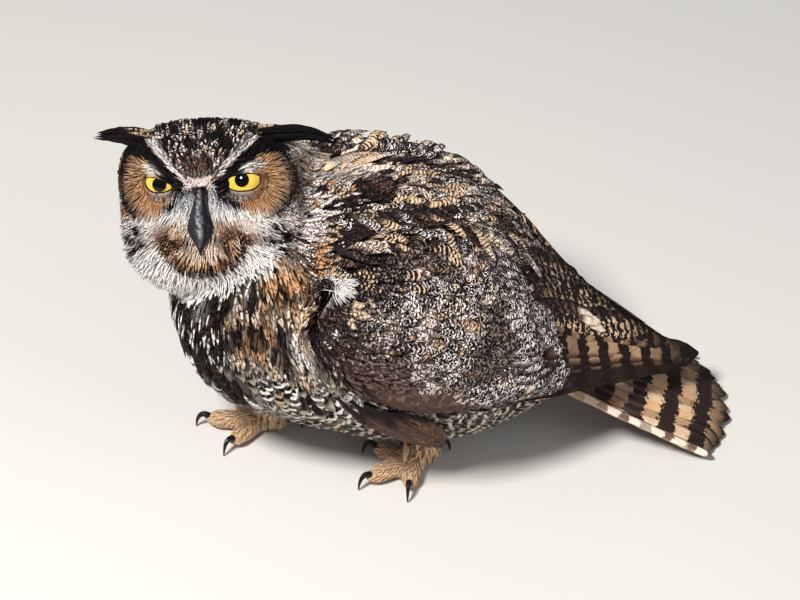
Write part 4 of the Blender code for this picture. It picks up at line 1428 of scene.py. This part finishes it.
def wing_places(side, ahead, share):
    """Points and outward normals on a wing's outer face.

    Ahead is a station in mm from the wrist (-90) to the tip (186); the share runs from the
    lower edge (0) to the upper (1).
    """
    low, high = (line_places(line, line[:, 0], ahead) for line in (WING_LOWER, WING_UPPER))
    low[..., 0], high[..., 0] = ahead, ahead
    out = unit(np.cross(high - low, (-1.0, 0, 0)))
    if side > 0:
        shift = RIGHT_TIP_SHIFT * ease(ahead, 0, 186)[..., None]
        low, high = low * (1, -1, 1) + shift, high * (1, -1, 1) + shift
        out = out * (1, -1, 1)
    middle = (low + (high - low) * share[..., None]) * MM
    return cast_onto(WING_TREES[side], middle, out, WING_RAY), out


def smooth_along(rows, passes=3):
    """Rows of shafts with small steps between the solids' facets evened out."""
    for _ in range(passes):
        inner = 0.5 * rows[:, 1:-1] + 0.25 * (rows[:, :-2] + rows[:, 2:])
        rows = np.concatenate([rows[:, :1], inner, rows[:, -1:]], 1)
    return rows


# %% [markdown]
# ## Flight feathers
#
# In a folded wing the innermost feather lies on top and each feather outwards of it reaches
# farther back, so the wing ends in a stack of edges.  They are barred in broad dark and buff
# blocks; the shaft curves gently downwards to the wing's tip.

# %% Build the flight feathers
def plain_paint(count, chance, **layers):
    paint = Paint(count, chance)
    paint.lay(np.ones(count), **layers)
    return paint.rows


def long_outline(stations, tip_start):
    """A flight feather's half width: even along its length, with a rounded tip."""
    base = 0.45 + 0.55 * ease(stations, 0.0, 0.35)
    tip = np.clip((stations - tip_start) / (1 - tip_start), 0, 1)
    return base * np.sqrt(np.maximum(1 - tip**2, 0.004))


def wing_row(side, starts, ends, shares, end_shares, width, lift, paint, rows=12, tip_start=0.62, sink=0.0,
             camber=0.2, thickness=0.5, fray=0.15, ragged=0.5):
    """Feathers between stations and shares, one value for each feather, with sunken roots; in mm."""
    stations = stations_for(rows)
    ahead = starts[:, None] + (ends - starts)[:, None] * stations
    share = shares[:, None] + (end_shares - shares)[:, None] * stations
    shafts, out = wing_places(side, ahead, share)
    lifts = lift[:, None] - sink * (1 - stations) ** 1.5
    shafts = smooth_along(shafts) + out * (lifts * MM)[..., None]
    widths = width * MM * long_outline(stations, tip_start)[None] * np.ones((len(starts), 1))
    return vanes(shafts, out, widths, camber, thickness * MM, paint, fray=fray, ragged=ragged)


FLIGHT = {"rows": 20, "tip_start": 0.86, "camber": 0.10, "fray": 0.08, "ragged": 0.15}


def flight_feathers(side):
    order = np.linspace(0, 1, 13)
    paint = Paint(13, 0.4 + 0.012 * order + (0.002 + 0.4 * (order > 0.3)) * rng.random(13))
    paint.lay(np.ones(13), "umber", (20.0, 0.50, 0.3), mark="rust", edge="brown", edging=0.5, tipping=0.8)
    paint.lay(np.full(13, 0.35), mark="buff")
    paint.lay(ease(order, 0.28, 0.5), ground="umber", mark="earth", edge="brown", edging=0.4,
              bars=(8.0, 0.34, 1.0))
    paint.lay((order > 0.4) * (rng.random(13) < 0.6), mark="buff", bars=(6.0, 0.26, 1.0))
    secondaries = wing_row(side, 25 + 22 * order, 178 - 80 * order**1.15, 0.18 + 0.74 * order,
                           0.32 + 0.62 * order, 10.0, -2.4 + 3.2 * order, paint.rows, **FLIGHT)
    order = np.linspace(0, 1, 8)
    paint = plain_paint(8, 0.6 + 0.01 * rng.random(8), plain="umber", mark="brown", edge="brown",
                        edging=0.6, tipping=0.6, bars=(23.0, 0.45, 0.4))
    primaries = wing_row(side, 20 + 0 * order, 186 - 14 * (1 - order) ** 2, 0.03 + 0.15 * order,
                         0.10 + 0.30 * order, 8.5, -3.2 + 1.0 * order, paint, **FLIGHT)
    return [secondaries, primaries]


# Four small pale feathers behind the coverts: stations, first and last shares, and lifts.
SMALL_PALE = np.array([(88, 91, 93, 96), (0.65, 0.59, 0.62, 0.56), (0.63, 0.55, 0.58, 0.50),
                       (1.7, 1.5, 1.3, 1.1)])


def greater_coverts(side):
    """Two rows of broad round feathers along the rear and one along the lower edge."""
    batches = []
    for row, lift in enumerate((0.9, 1.9)):
        share = np.linspace(0.10, 0.92, 15) + 0.03 * row
        start = 46 - 16 * row - 14 * share + rng.normal(size=15) * 1.5
        paint = plain_paint(15, rng.random(15), plain="umber", mark="ash", tipping=0.3, edging=0.7,
                            bars=(2.3, 0.40, 0.9))
        batches.append(wing_row(side, start, start + 34, share, share - 0.03, 8.0, np.full(15, lift), paint,
                                sink=5.0))
    start = np.linspace(-62, 40, 12)
    paint = Paint(12, rng.random(12))
    paint.lay(np.ones(12), "umber", (2.2, 0.46, 0.9), mark="ash", tip="earth", edging=0.8)
    paint.lay(ease(start, -4, -24), ground="brown", mark="earth", tip="brown", edge="earth",
              bars=(9.0, 0.3, 1.0))
    batches.append(wing_row(side, start, start + 34, np.full(12, 0.17), np.full(12, 0.03), 8.8,
                            np.linspace(1.0, 1.8, 12), paint.rows, sink=4.0))
    start, share, end_share, lift = SMALL_PALE
    paint = plain_paint(4, rng.random(4), plain="cream", mark="buff", under="brown", bars=(9.0, 0.2, 0.8))
    batches.append(wing_row(side, start, start + 15, share, end_share, 3.4, lift, paint, 9, 0.45, 2.0,
                            thickness=0.4, fray=0.4))
    return batches


# The loose feathers under the left wrist: the plate's front and rear edges, from top to tip, in mm.
WRIST_FRONT = np.array([(-81, -88, 110), (-69, -92, 85), (-47, -88, 62), (-17, -81, 41)], float)
WRIST_REAR = np.array([(-19, -103, 91), (-9, -99, 78), (-1, -92, 61), (-3, -84, 43)], float)


def wrist_feathers(side):
    """The loose plain feathers that hang from the wrist against the flank, the front ones on top."""
    count, rows = 34, 14
    order = (np.arange(count) + 0.5) / count
    stations = stations_for(rows)
    across = 0.86 * (1 - order)[:, None] ** 0.8 + 0.30 * stations * order[:, None]
    start = 0.34 * rng.random(count) ** 1.5
    down = start[:, None] + (1.0 - start - 0.40 * rng.random(count) ** 1.3)[:, None] * stations
    front, rear = (line_places(line, np.linspace(0, 1, 4), down) for line in (WRIST_FRONT, WRIST_REAR))
    line = front + (rear - front) * across[..., None]
    line[..., 1] -= 6.0 * 4 * across * (1 - across) * (1 - 0.7 * down) - 2.4 + 2.6 * order[:, None]
    line = smooth_along(line * (1, -side, 1) * MM)
    out = np.broadcast_to(unit(np.array([0, side * 1.0, -0.3])), line.shape)
    chance = rng.random(count)
    paint = Paint(count, chance)
    paint.lay(np.ones(count), "earth", (9.0, 0.3, 1.0), mark="brown", under="umber", edge="brown",
              edging=0.5)
    paint.lay(chance * 0.9, ground="brown", edge="brown", tip="brown")
    paint.lay(chance < 0.12, ground="rust", tip="brown")
    widths = rng.uniform(2.2, 3.8, count)[:, None] * MM * long_outline(stations, 0.5)
    return [vanes(line, out, widths, 0.2, 0.35 * MM, paint.rows, fray=0.3)]


for word, side in WINGS:
    nodes = [f"wing_{word}_{part}" for part in ("primaries", "secondaries")]
    add_coat(f"flight_feathers_{word}", flight_feathers(side), replaces=nodes)
    add_coat(f"greater_coverts_{word}", greater_coverts(side))
    add_coat(f"wrist_feathers_{word}", wrist_feathers(side), replaces=[f"wing_{word}_alula"])

# %% [markdown]
# ## Tail
#
# Twelve feathers, barred in rusty buff and dark brown, spread in a low arch whose tips lie on
# the ground.  The middle pair lies on top; the outermost have a pale outer web.

# %% Build the tail
tail_tree = search_tree(*solid("tail"))
tail_low, tail_high = (np.array(corner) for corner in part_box("tail"))
TAIL_ROOT = np.array([tail_low[0] + 0.015, -0.008, tail_high[2]])
TAIL_END = np.array([tail_high[0] - 0.003, -0.0365, 0.0])
TAIL_FEATHERS = 12
TAIL_ROOT_WIDTH, TAIL_END_WIDTH = 0.050, 0.101
TAIL_CLEARANCE = 1.1 * MM  # the shafts' least height over the ground


def tail_feathers():
    rows = 24
    stations = 1 - (1 - np.linspace(0, 1, rows)) ** 1.6
    along = unit(TAIL_END - TAIL_ROOT)
    sideways = unit(np.cross(along, (0, 0, 1.0)))
    span = np.linalg.norm(TAIL_END - TAIL_ROOT)
    across = (np.arange(TAIL_FEATHERS) + 0.5) / TAIL_FEATHERS * 2 - 1
    tips = 0.985 - 0.12 * across[:, None] ** 2 - 0.07 * rng.random((TAIL_FEATHERS, 1)) ** 2
    reach = stations[None] * tips
    half = 0.5 * (TAIL_ROOT_WIDTH + (TAIL_END_WIDTH - TAIL_ROOT_WIDTH) * reach**0.75)
    shafts = TAIL_ROOT + along * (span * reach)[..., None] + sideways * (half * across[:, None])[..., None]
    above = np.broadcast_to([0.0, 0.0, 1.0], shafts.shape)
    shafts = smooth_along(cast_onto(tail_tree, shafts, above, TAIL_RAY))
    normal = unit(np.cross(sideways, along))
    normal = normal * np.sign(normal[2])
    out = np.broadcast_to(normal, shafts.shape) + sideways * (0.42 * across)[:, None, None]
    order = 1 - np.abs(across)
    lift = (-1.5 + 1.3 * order)[:, None] * (1 - 0.55 * stations[None])
    shafts = shafts + unit(out) * (lift * MM)[..., None]
    shafts[..., 2] = np.maximum(shafts[..., 2], TAIL_CLEARANCE)
    widths = np.full((TAIL_FEATHERS, 1), 8.8 * MM) * long_outline(stations, 0.93)
    chance = 0.38 + 0.0016 * np.arange(TAIL_FEATHERS) + 0.005 * rng.random(TAIL_FEATHERS)
    paint = plain_paint(TAIL_FEATHERS, chance, plain="umber", mark="buff", tipping=0.9, edge="earth",
                        edging=0.6, bars=(24.0, 0.43, 0.42))
    paint["ground"] = paint["ground"] * 0.75 + INK["brown"] * 0.25
    for first, ink in ((0, "tawny"), (1, "rust")):
        paint["mark"][first::3] = paint["mark"][first::3] * 0.4 + 0.6 * INK[ink]
    # Painted shade: the bars of the tail's far feathers are darkened towards brown.
    shade = ease(across, 0.5, -0.7)[:, None] * 0.6
    paint["mark"] = paint["mark"] * (1 - shade) + INK["brown"] * shade
    batches = [vanes(shafts, unit(out), widths, 0.08, 0.45 * MM, paint, fray=0.12, ragged=0.12)]
    edge = shafts[[0, -1]] + sideways * (np.array([-1, 1]) * 7.6 * MM)[:, None, None]
    edge[..., 2] = np.maximum(edge[..., 2] - 0.4 * MM, 1.0 * MM)
    pale = plain_paint(2, rng.random(2), plain="cream", mark="earth", under="buff", edge="buff", edging=0.5,
                       bars=(17.0, 0.44, 0.35))
    batches.append(vanes(edge, unit(out[[0, -1]]), widths[[0, -1]] * 0.40, 0.1, 0.4 * MM, pale, fray=0.3))
    return batches


add_coat("tail_feathers", tail_feathers(), replaces=["tail"])

# %% [markdown]
# ## Face, crown and throat
#
# The face wears the smallest feathers.  On the discs they are loose bristles that radiate from
# each eye; beside the bill they sweep down and out; on the crown they are little scales laid
# backwards; below the chin they lengthen into the soft white throat.

# %% The lie of the head's feathers
BILL_ROOT = np.array([9.0, 0.0, -5.0])


def head_lie(towards):
    """A lie given in the head's own frame, as a function of rows there, turned to the world."""
    return lambda rows: towards(to_head(rows)) @ HEAD_AXES.T


def disc_lie(head):
    side = np.sign(head[:, 1])
    return unit(rows_of(0.0, head[:, 1] - side * EYE_OUT, head[:, 2])) + np.array([0, 0, -0.25])


def lores_lie(head):
    sideways = 0.42 * ease(np.abs(head[:, 1]), 7, 14) + 0.4 * ease(-head[:, 2], 14, 30) - 0.08
    return rows_of(0.35, np.sign(head[:, 1]) * sideways, -0.9)


def crown_lie(head):
    return head - BILL_ROOT + np.array([-22.0, 0, 10.0])


def nasal_lie(head):
    return rows_of(0.3, 0.05 * head[:, 1], -1.0)


def brow_lie(head):
    return rows_of(-0.25, np.sign(head[:, 1]), 0.62)


def chin_lie(head):
    return rows_of(0.0, head[:, 1] * 0.035, -1.0)


def nape_lie(head):
    return rows_of(-0.8 - ease(head[:, 0], -18, -40), head[:, 1] / 45, head[:, 2] / 60 - 0.45)


# %% Regions of the head
h_ahead, h_out, h_up = portrait(centre_head)
h_over = h_up - brow_height(h_out)
h_front = front_share(h_out, h_up)
on_head = on_part("head")
is_front = on_head & (h_ahead > -27) & (h_front < 1.06)
is_nasal = on_head & (h_ahead > -12) & (h_out < 6.5) & (h_up < 1.5 + 0.3 * h_out) & (h_up > -10)
is_crown = on_head & (h_over > 1.0) & (h_ahead > -60) & ~is_nasal
is_brow = is_front & (h_over > -8) & (h_over < 7) & (h_out > 7) & (h_out < 50)
is_lores = is_front & (h_out < lores_edge(h_up)) & (h_up < 2) & (h_up > -25) & (h_over < 0)
is_disc = is_front & (h_over < 0.5) & ~is_lores & (h_up > -26)
is_chin = is_front & ~is_lores & (h_up <= -24) & ((chin_share(h_out, h_up) < 1.08) | (h_up > -44))
bib_edge = -63 + 18 * (h_out / 52) ** 2
h_chin = chin_share(h_out, h_up)
is_bib = on_part("head", "neck", "trunk") & (h_out < 52) & (h_up < -40) & (h_up > bib_edge)
is_bib &= (h_ahead > -30) & (h_chin > 0.99)
is_ruff = (on_head | (on_part("neck") & (h_ahead > -58))) & ~is_front & ~is_crown & ~is_bib


def not_on_opening(rows):
    """1 where a root is clear of the opening between the lids."""
    gaps = np.minimum(eye_opening(rows, 1)[0], eye_opening(rows, -1)[0])
    return (gaps > 1.8).astype(float)


def near_eye_size(far, close):
    """A size that shrinks near the eye, in mm."""
    return lambda rows: close + (far - close) * ease(eye_distance(to_head(rows)), 13, 20)


def crown_rise(rows):
    """Low over the bill's base, so that the white V closes round it, and full above."""
    head = to_head(rows)
    return 2.4 + 2.6 * ease(head[:, 2] + 0.4 * np.abs(head[:, 1]), -2, 8)


# %% Plant the head
def tint(batch, ink, share):
    """Lays one colour over a whole batch of vanes."""
    for key in ("ground", "mark"):
        batch[key] += (INK[ink] - batch[key]) * share


FINE = {"rows": 5, "across": 3, "fray": 0.0, "tip_start": 0.3, "root_width": 0.7, "camber": 0.3, "low": 0.2}
SMALL = {"rows": 6, "across": 3}
disc = plant(is_disc, 0.95, head_lie(disc_lie), near_eye_size(10, 5.5), near_eye_size(0.46, 0.34),
             near_eye_size(3.2, 1.5), spread=10, thickness=0.2, thin=not_on_opening, **FINE)
lores = plant(is_lores, 0.9, head_lie(lores_lie), near_eye_size(12, 6), 0.32, near_eye_size(4.2, 2.0),
              spread=13, thickness=0.2, thin=not_on_opening, curl=0.8, **FINE)
add_coat("coat_disc", [disc], BRISTLE)
add_coat("coat_lores", [lores], BRISTLE)
crown = plant(is_crown, 1.6, head_lie(crown_lie), 8.5, 1.25, crown_rise, spread=14, fray=0.3, thickness=0.3,
              **SMALL)
brow = plant(is_brow, 1.2, head_lie(brow_lie), 9.0, 0.9, 4.0, spread=9, thickness=0.3, thin=not_on_opening,
             **FINE)
nasal = plant(is_nasal, 1.0, head_lie(nasal_lie), 6.5, 0.42, 3.4, spread=16, thickness=0.2, **FINE)
tint(nasal, "ash", 0.6)
add_coat("coat_crown", [crown, brow, nasal])
chin = plant(is_chin, 1.1, head_lie(chin_lie), 7.5, 0.5, 4.4, spread=15, thickness=0.2, curl=0.6, **FINE)
bib = plant(is_bib, 1.3, head_lie(chin_lie), 11.5, 0.62, 7.2, spread=12, fray=0.3, thickness=0.2,
            tip_start=0.4, low=0.5, **SMALL)
add_coat("coat_throat", [chin, bib])
ruff = plant(is_ruff, 1.65, head_lie(nape_lie), 11.0, 1.3, 6.2, spread=15, fray=0.35, thickness=0.2,
             low=0.5, **SMALL)
add_coat("coat_neck", [ruff])

# %% A tuft of white down beside the shoulder
def one_way(*direction):
    """A lie that is the same everywhere."""
    return lambda rows: np.tile(direction, (len(rows), 1))


DOWN_PLACE, DOWN_REACH = np.array([-73, -74, 183]) * MM, 0.0064
near_down = on_part("wing") & (length(skin_centres - DOWN_PLACE) < DOWN_REACH)
down_tuft = plant(near_down, 0.5, one_way(0.8, -0.3, -0.5), 8.5, 0.24, 11.0, spread=26, thickness=0.16,
                  curl=0.5, low=0.5, **SMALL)
tint(down_tuft, "white", 1.0)
add_coat("shoulder_down", [down_tuft], BRISTLE)

# %% [markdown]
# ## Ear tufts
#
# The tufts aren't ears but long feathers on the corners of the brow.  Each is a sheaf: shafts
# start close together at the root, share the tuft's curve, and spread a little at their tips.

# %% Build the ear tufts
def tuft_feathers(word, side):
    head = to_head(solid(f"ear_tuft_{word}")[0])
    reach = head[:, 1] * side
    stops = np.linspace(reach.min() + 1, reach.max() - 0.5, 6)
    line = np.array([head[np.abs(reach - stop) < 8].mean(0) for stop in stops])
    line[-1] = head[reach.argmax()]
    count, rows = 64, 9
    stations = stations_for(rows)
    begin = rng.uniform(-0.12, 0.42, count)
    finish = np.clip(begin + rng.uniform(0.40, 0.70, count), 0, 1 - 0.10 * rng.random(count) ** 2)
    share = begin[:, None] + (finish - begin)[:, None] * stations
    inside = np.clip(share, 0, 1)
    middle = line_places(line, np.linspace(0, 1, 6), inside)
    middle[..., 1] += np.minimum(share, 0) * 50 * side
    flat, thick = unit(np.array([0.55, 0.0, 0.83])), unit(np.array([0.83, 0.0, -0.55]))
    place = rng.uniform(-1, 1, (count, 2))
    swell = np.sqrt(1 - inside)
    spread = place[:, :1] * (6.6 * swell + 1.2 * stations) - 3.0 * (1 - inside) ** 1.5
    middle = middle + flat * spread[..., None] + thick * (place[:, 1:] * swell * 2.6)[..., None]
    shafts = from_head(middle)
    out = np.broadcast_to(thick @ HEAD_AXES.T, shafts.shape)
    paint = Paint(count, rng.random(count))
    paint.lay(np.ones(count), "black", (6.0, 0.15, 0.9), mark="umber")
    paint.lay((place[:, 0] > 0.5) * (begin < -0.02) * 0.9, ground="buff", tip="umber", edge="umber",
              edging=0.6, tipping=1.0, mark="umber", bars=(4.0, 0.4, 0.9))
    widths = rng.uniform(1.3, 2.1, count)[:, None] * MM * outline(stations, 0.25, 0.6)
    return vanes(shafts, out, widths, 0.3, 0.3 * MM, paint.rows, fray=0.4)


for word, side in (("left", 1), ("right", -1)):
    batches = [tuft_feathers(word, side)]
    add_coat(f"tuft_feathers_{word}", batches, replaces=[f"ear_tuft_{word}"])

# %% Legs and toes
legs = plant(on_part("leg"), 2.2, one_way(-0.2, 0.0, -1.0), 9.0, 1.3, 2.6, rows=5, across=3, spread=14,
             fray=0.2, thickness=0.25)
toe_skin = on_part("foot") & (skin_centres[:, 2] > 2.2 * MM)


def toe_lie(rows):
    """Along the toes: away from the middle of the nearer foot."""
    middles = np.array([middle_of("foot_left"), middle_of("foot_right")])
    middles[:, 0] += 0.008
    away = rows[:, None] - middles[None]
    nearer = length(away).argmin(1)
    return away[np.arange(len(rows)), nearer] * (1, 1, 0) + np.array([0, 0, -0.004])


toes = plant(toe_skin, 1.15, toe_lie, 5.0, 0.6, 1.3, rows=4, across=3, spread=14, fray=0.1, thickness=0.15,
             camber=0.15)
add_coat("coat_feet", [legs, toes])

# %% [markdown]
# ## Eyes
#
# A horned owl's eye is a great yellow ring round a black pupil, under a clear bulging front.
# The ball is turned about the eye's own axis, which is why its finish can measure how far a
# place lies from that axis.  A strong clear coat gives the wet highlight.

# %% Build the eyes
IRIS_RADIUS, PUPIL_RADIUS = 11.0, 4.6
BACK_SHIFT = 20.0  # moves the back of the ball clear of the iris, in mm
GAZE = {1: (-0.9, 1.2, 0), -1: (-1.4, -0.8, 0)}  # the iris's middle, outwards and up of the axis, in mm


def eye_material():
    material, graph, shader = new_material("eye", Roughness=0.4, Specular_IOR_Level=0.0, Coat_Weight=1.0,
                                           Coat_Roughness=0.02, Coat_IOR=1.36)
    x, y, _ = graph.node("SeparateXYZ", None, graph.attribute("place")[1])
    reach = (x * x + y * y + 1e-9).maths("SQRT")
    fibres = graph.noise(graph.vector(x / reach * 0.06, y / reach * 0.06, reach * 0.004), 300.0, 3.0)
    flow = graph.noise(graph.vector(x, y, 0.0), 3.0 / IRIS_RADIUS, 2.0)
    yellow = graph.mix(fibres.eased(0.35, 0.7), (0.76, 0.47, 0.045, 1), (0.90, 0.67, 0.14, 1))
    yellow = graph.mix(flow.eased(0.3, 0.8) * 0.35, yellow, (0.62, 0.42, 0.03, 1))
    inner = 1 - reach.eased(PUPIL_RADIUS, PUPIL_RADIUS + 1.6)
    yellow = graph.mix(inner * 0.35, yellow, (0.45, 0.30, 0.03, 1))
    outer = reach.eased(IRIS_RADIUS - 0.5, IRIS_RADIUS + 0.4)
    colour = graph.mix(outer, yellow, (0.02, 0.013, 0.01, 1))
    pupil = 1 - (reach + (fibres - 0.5) * 0.25).eased(PUPIL_RADIUS - 0.15, PUPIL_RADIUS + 0.12)
    colour = graph.mix(pupil, colour, (0.0015, 0.0015, 0.002, 1))
    feed(graph, shader, Base_Color=colour)
    return material


EYE = eye_material()


def make_eye(word, side):
    rows, columns = 40, 64
    turns = np.linspace(0, 2 * math.pi, columns, endpoint=False)
    polar, around = np.meshgrid(np.linspace(0.004, math.pi - 0.004, rows), turns, indexing="ij")
    points = eye_surface(side, polar, around, np.zeros_like(polar)).reshape(-1, 3)
    quads, caps = grid_faces(rows, columns), end_caps(rows, columns)
    if side > 0:
        quads = quads[:, ::-1]
    else:
        caps = caps[:, ::-1]
    mesh = mesh_from(f"eyeball_{word}", points, [quads, caps])
    ahead, out, up = ((points - EYE_MIDDLES[side]) @ eye_axes(side).T / MM).T
    behind = np.where(ahead < 0, BACK_SHIFT, 0.0)
    add_attribute(mesh, "place", rows_of(out + behind, up, ahead) - GAZE[side])
    add_piece(f"eyeball_{word}", mesh, EYE, [f"eye_{word}"])


make_eye("left", 1)
make_eye("right", -1)
print("the iris is", 2 * IRIS_RADIUS, "mm across and the pupil", 2 * PUPIL_RADIUS)

# %% [markdown]
# ## Bill and claws
#
# Horn is nearly black, with fine growth lines and a faint mottle; the pale mottled band down the
# bill's ridge is a painted highlight.  The bill is turned again from its solid's line with more
# rows, so that its ridge, cutting edge and nostrils are smooth; the claws keep their solids with a
# subdivision.

# %% Horn
def horn_material(name, dark, pale, roughness):
    material, graph, shader = new_material(name, Coat_Weight=0.08, Coat_Roughness=0.3,
                                           Specular_IOR_Level=0.18)
    place = graph.node("TexCoord")[3]
    mottle = graph.noise(place, 420.0, 5.0)
    drawn_out = graph.node("VectorMath", {"operation": "MULTIPLY"}, place, (300, 300, 1700))[0]
    lines = graph.noise(drawn_out, 1.0, 2.0)
    # The pale band on the bill's ridge is a painted highlight, broken by the mottle; a faint mottle shows all
    # over.
    sheen_and_mottle = graph.attribute("ridge")[2] * (mottle.eased(0.38, 0.62) * 0.75 + 0.15)
    sheen_and_mottle = sheen_and_mottle + mottle.eased(0.5, 0.8) * 0.06
    colour = graph.dim(graph.mix(sheen_and_mottle, dark, pale), 0.8 + lines * 0.4)
    bump = graph.node("Bump", None, Strength=0.12, Distance=0.0004, Height=lines + mottle)[0]
    feed(graph, shader, Base_Color=colour, Roughness=mottle * 0.2 + roughness, Normal=bump)
    return material


# The bill's pale colour is its painted ridge highlight; on the claws it gives only a faint mottle.
BILL = horn_material("bill_horn", (0.006, 0.006, 0.008, 1), (0.36, 0.37, 0.42, 1), 0.34)
CLAW = horn_material("claw_horn", (0.008, 0.007, 0.007, 1), (0.035, 0.030, 0.028, 1), 0.24)

# The upper bill's line in the head's frame: forwards, up, half depth and half width, in mm.
BILL_LINE = np.array([
    (-2.0, -6.5, 6.0, 2.4), (3.5, -11.0, 8.0, 3.9), (7.0, -18.0, 8.0, 5.4), (8.6, -26.0, 6.7, 5.7),
    (9.2, -34.0, 4.5, 4.0), (9.8, -41.5, 2.0, 1.6), (9.8, -45.5, 0.35, 0.35),
])


def make_bill():
    rows, columns = 40, 40
    share = np.linspace(0, 1, rows)
    stops = np.linspace(0, 1, len(BILL_LINE))
    line = line_places(BILL_LINE, stops, share)
    for _ in range(4):
        line[1:-1] = 0.5 * line[1:-1] + 0.25 * (line[:-2] + line[2:])
    tangent = unit(np.gradient(line[:, :2], axis=0))
    ahead = rows_of(-tangent[:, 1], tangent[:, 0])
    around = np.linspace(0, 2 * math.pi, columns, endpoint=False)
    c, s = np.cos(around), np.sin(around)
    ridge = 1 + 0.10 * lump(np.abs(np.angle(np.exp(1j * around))), 0.35)
    front = c[None] * line[:, 2:3] * ridge
    sideways = np.sign(s)[None] * np.abs(s)[None] ** 0.9 * line[:, 3:4] * (1 - 0.16 * np.clip(c, 0, 1)[None])
    hollow = lump(share[:, None] - 0.33, 0.10) * lump(np.abs(s)[None] - 0.75, 0.22) * (c[None] > 0)
    gape = lump(share[:, None] - 0.60, 0.20) * ease(-c, -0.5, 0.3)[None]
    sideways = sideways * (1 - 0.16 * hollow + 0.68 * gape)
    nostril = lump(np.abs(np.abs(around - math.pi) - math.pi + 0.95)[None], 0.16)
    nostril = lump(share[:, None] - 0.235, 0.035) * nostril
    sideways = sideways * (1 - 0.30 * nostril)
    front = front * (1 - 0.12 * nostril)
    # A pale band down the ridge, turned a little to one side: where the painted highlight lies.
    sheen_and_mottle = lump(np.angle(np.exp(1j * (around - 0.22)))[None], 0.24 + 0.30 * share[:, None])
    sheen_and_mottle = sheen_and_mottle * ease(share[:, None], 0.06, 0.2) * ease(share[:, None], 0.86, 0.6)
    forwards, upwards = (line[:, None, k] + ahead[:, None, k] * front for k in range(2))
    points = rows_of(forwards, sideways, upwards).reshape(-1, 3)
    mesh = mesh_from("bill", from_head(points), [grid_faces(rows, columns), end_caps(rows, columns)])
    mesh.attributes.new("ridge", "FLOAT", "POINT").data.foreach_set("value", sheen_and_mottle.astype(np.float32).ravel())
    add_piece("bill", mesh, BILL, ["bill_upper"])


make_bill()
for name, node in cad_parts.items():
    if name.startswith("claw") or name == "bill_lower":
        node.data.materials.clear()
        node.data.materials.append(BILL if name == "bill_lower" else CLAW)
        node.modifiers.new("joiner", "WELD").merge_threshold = 0.00002
        smoother = node.modifiers.new("smoother", "SUBSURF")
        smoother.levels = smoother.render_levels = 1

# %% [markdown]
# ## Floor, light and camera
#
# A plain pale floor, a broad soft light from the upper left and a weaker one from the right show
# the relief without hard shadows.  Colours are shown as they are, by the standard view.  The
# camera looks down at the bird's left side.

# %% Floor
FLOOR_REACH = 6.0
floor_corners = np.array([(-1, -1, 0), (1, -1, 0), (1, 1, 0), (-1, 1, 0)]) * FLOOR_REACH
floor = new_object("floor", mesh_from("floor", floor_corners, [np.array([[0, 1, 2, 3]])]))
floor.data.materials.append(new_material("floor_paper", Roughness=0.9, Base_Color=(*INK["floor"], 1))[0])
floor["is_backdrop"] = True

# %% Lights
LIT_PLACE = Vector((0, 0, 0.1))


def area_light(name, place, size, power, warmth=(1, 1, 1)):
    lamp = bpy.data.lights.new(name, "AREA")
    lamp.shape = "DISK"
    lamp.size = size
    lamp.energy = power
    lamp.color = warmth
    made = new_object(name, lamp)
    made.location = place
    made.rotation_euler = (LIT_PLACE - Vector(place)).to_track_quat("-Z", "Y").to_euler()


area_light("key", (-0.9, -0.8, 1.9), 0.5, 64, (1.0, 0.975, 0.94))
area_light("fill", (1.4, -1.2, 1.0), 1.4, 9, (0.93, 0.96, 1.0))
world = bpy.data.worlds.new("soft_room")
bpy.context.scene.world = world
world.use_nodes = True
backdrop = world.node_tree.nodes["Background"]
backdrop.inputs["Color"].default_value = (0.92, 0.95, 1.0, 1)
backdrop.inputs["Strength"].default_value = 0.22
bpy.context.scene.view_settings.view_transform = "Standard"

# %% Camera
CAMERA_AZIMUTH, CAMERA_HEIGHT = math.radians(-10), math.radians(40)
CAMERA_DISTANCE = 1.73
CAMERA_LENS = 116.8
CAMERA_AIM = Vector((-0.0067, 0, 0.10))
AIM_LEFT = 0.0133  # the bird stands a little right of the picture's middle
SENSOR_WIDTH = 36


def make_camera():
    a, e = CAMERA_AZIMUTH, CAMERA_HEIGHT
    back = Vector((math.sin(a) * math.cos(e), -math.cos(a) * math.cos(e), math.sin(e)))
    right = Vector((math.cos(a), math.sin(a), 0))
    aim = CAMERA_AIM - right * AIM_LEFT
    camera = new_object("camera", bpy.data.cameras.new("camera"))
    camera.data.lens = CAMERA_LENS
    camera.data.sensor_width = SENSOR_WIDTH
    camera.location = aim + back * CAMERA_DISTANCE
    camera.rotation_mode = "QUATERNION"
    camera.rotation_quaternion = (-back).to_track_quat("-Z", "Y")
    bpy.context.scene.camera = camera


make_camera()

# %% Sizes
visual_box = [list(corner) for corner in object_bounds()]
for axis, (cad_low, cad_high, low, high) in enumerate(zip(*CAD_BOX, *visual_box)):
    solids, plumage = (round(cad_low, 4), round(cad_high, 4)), (round(low, 4), round(high, 4))
    print("XYZ"[axis], "solids", *solids, "plumage", *plumage)
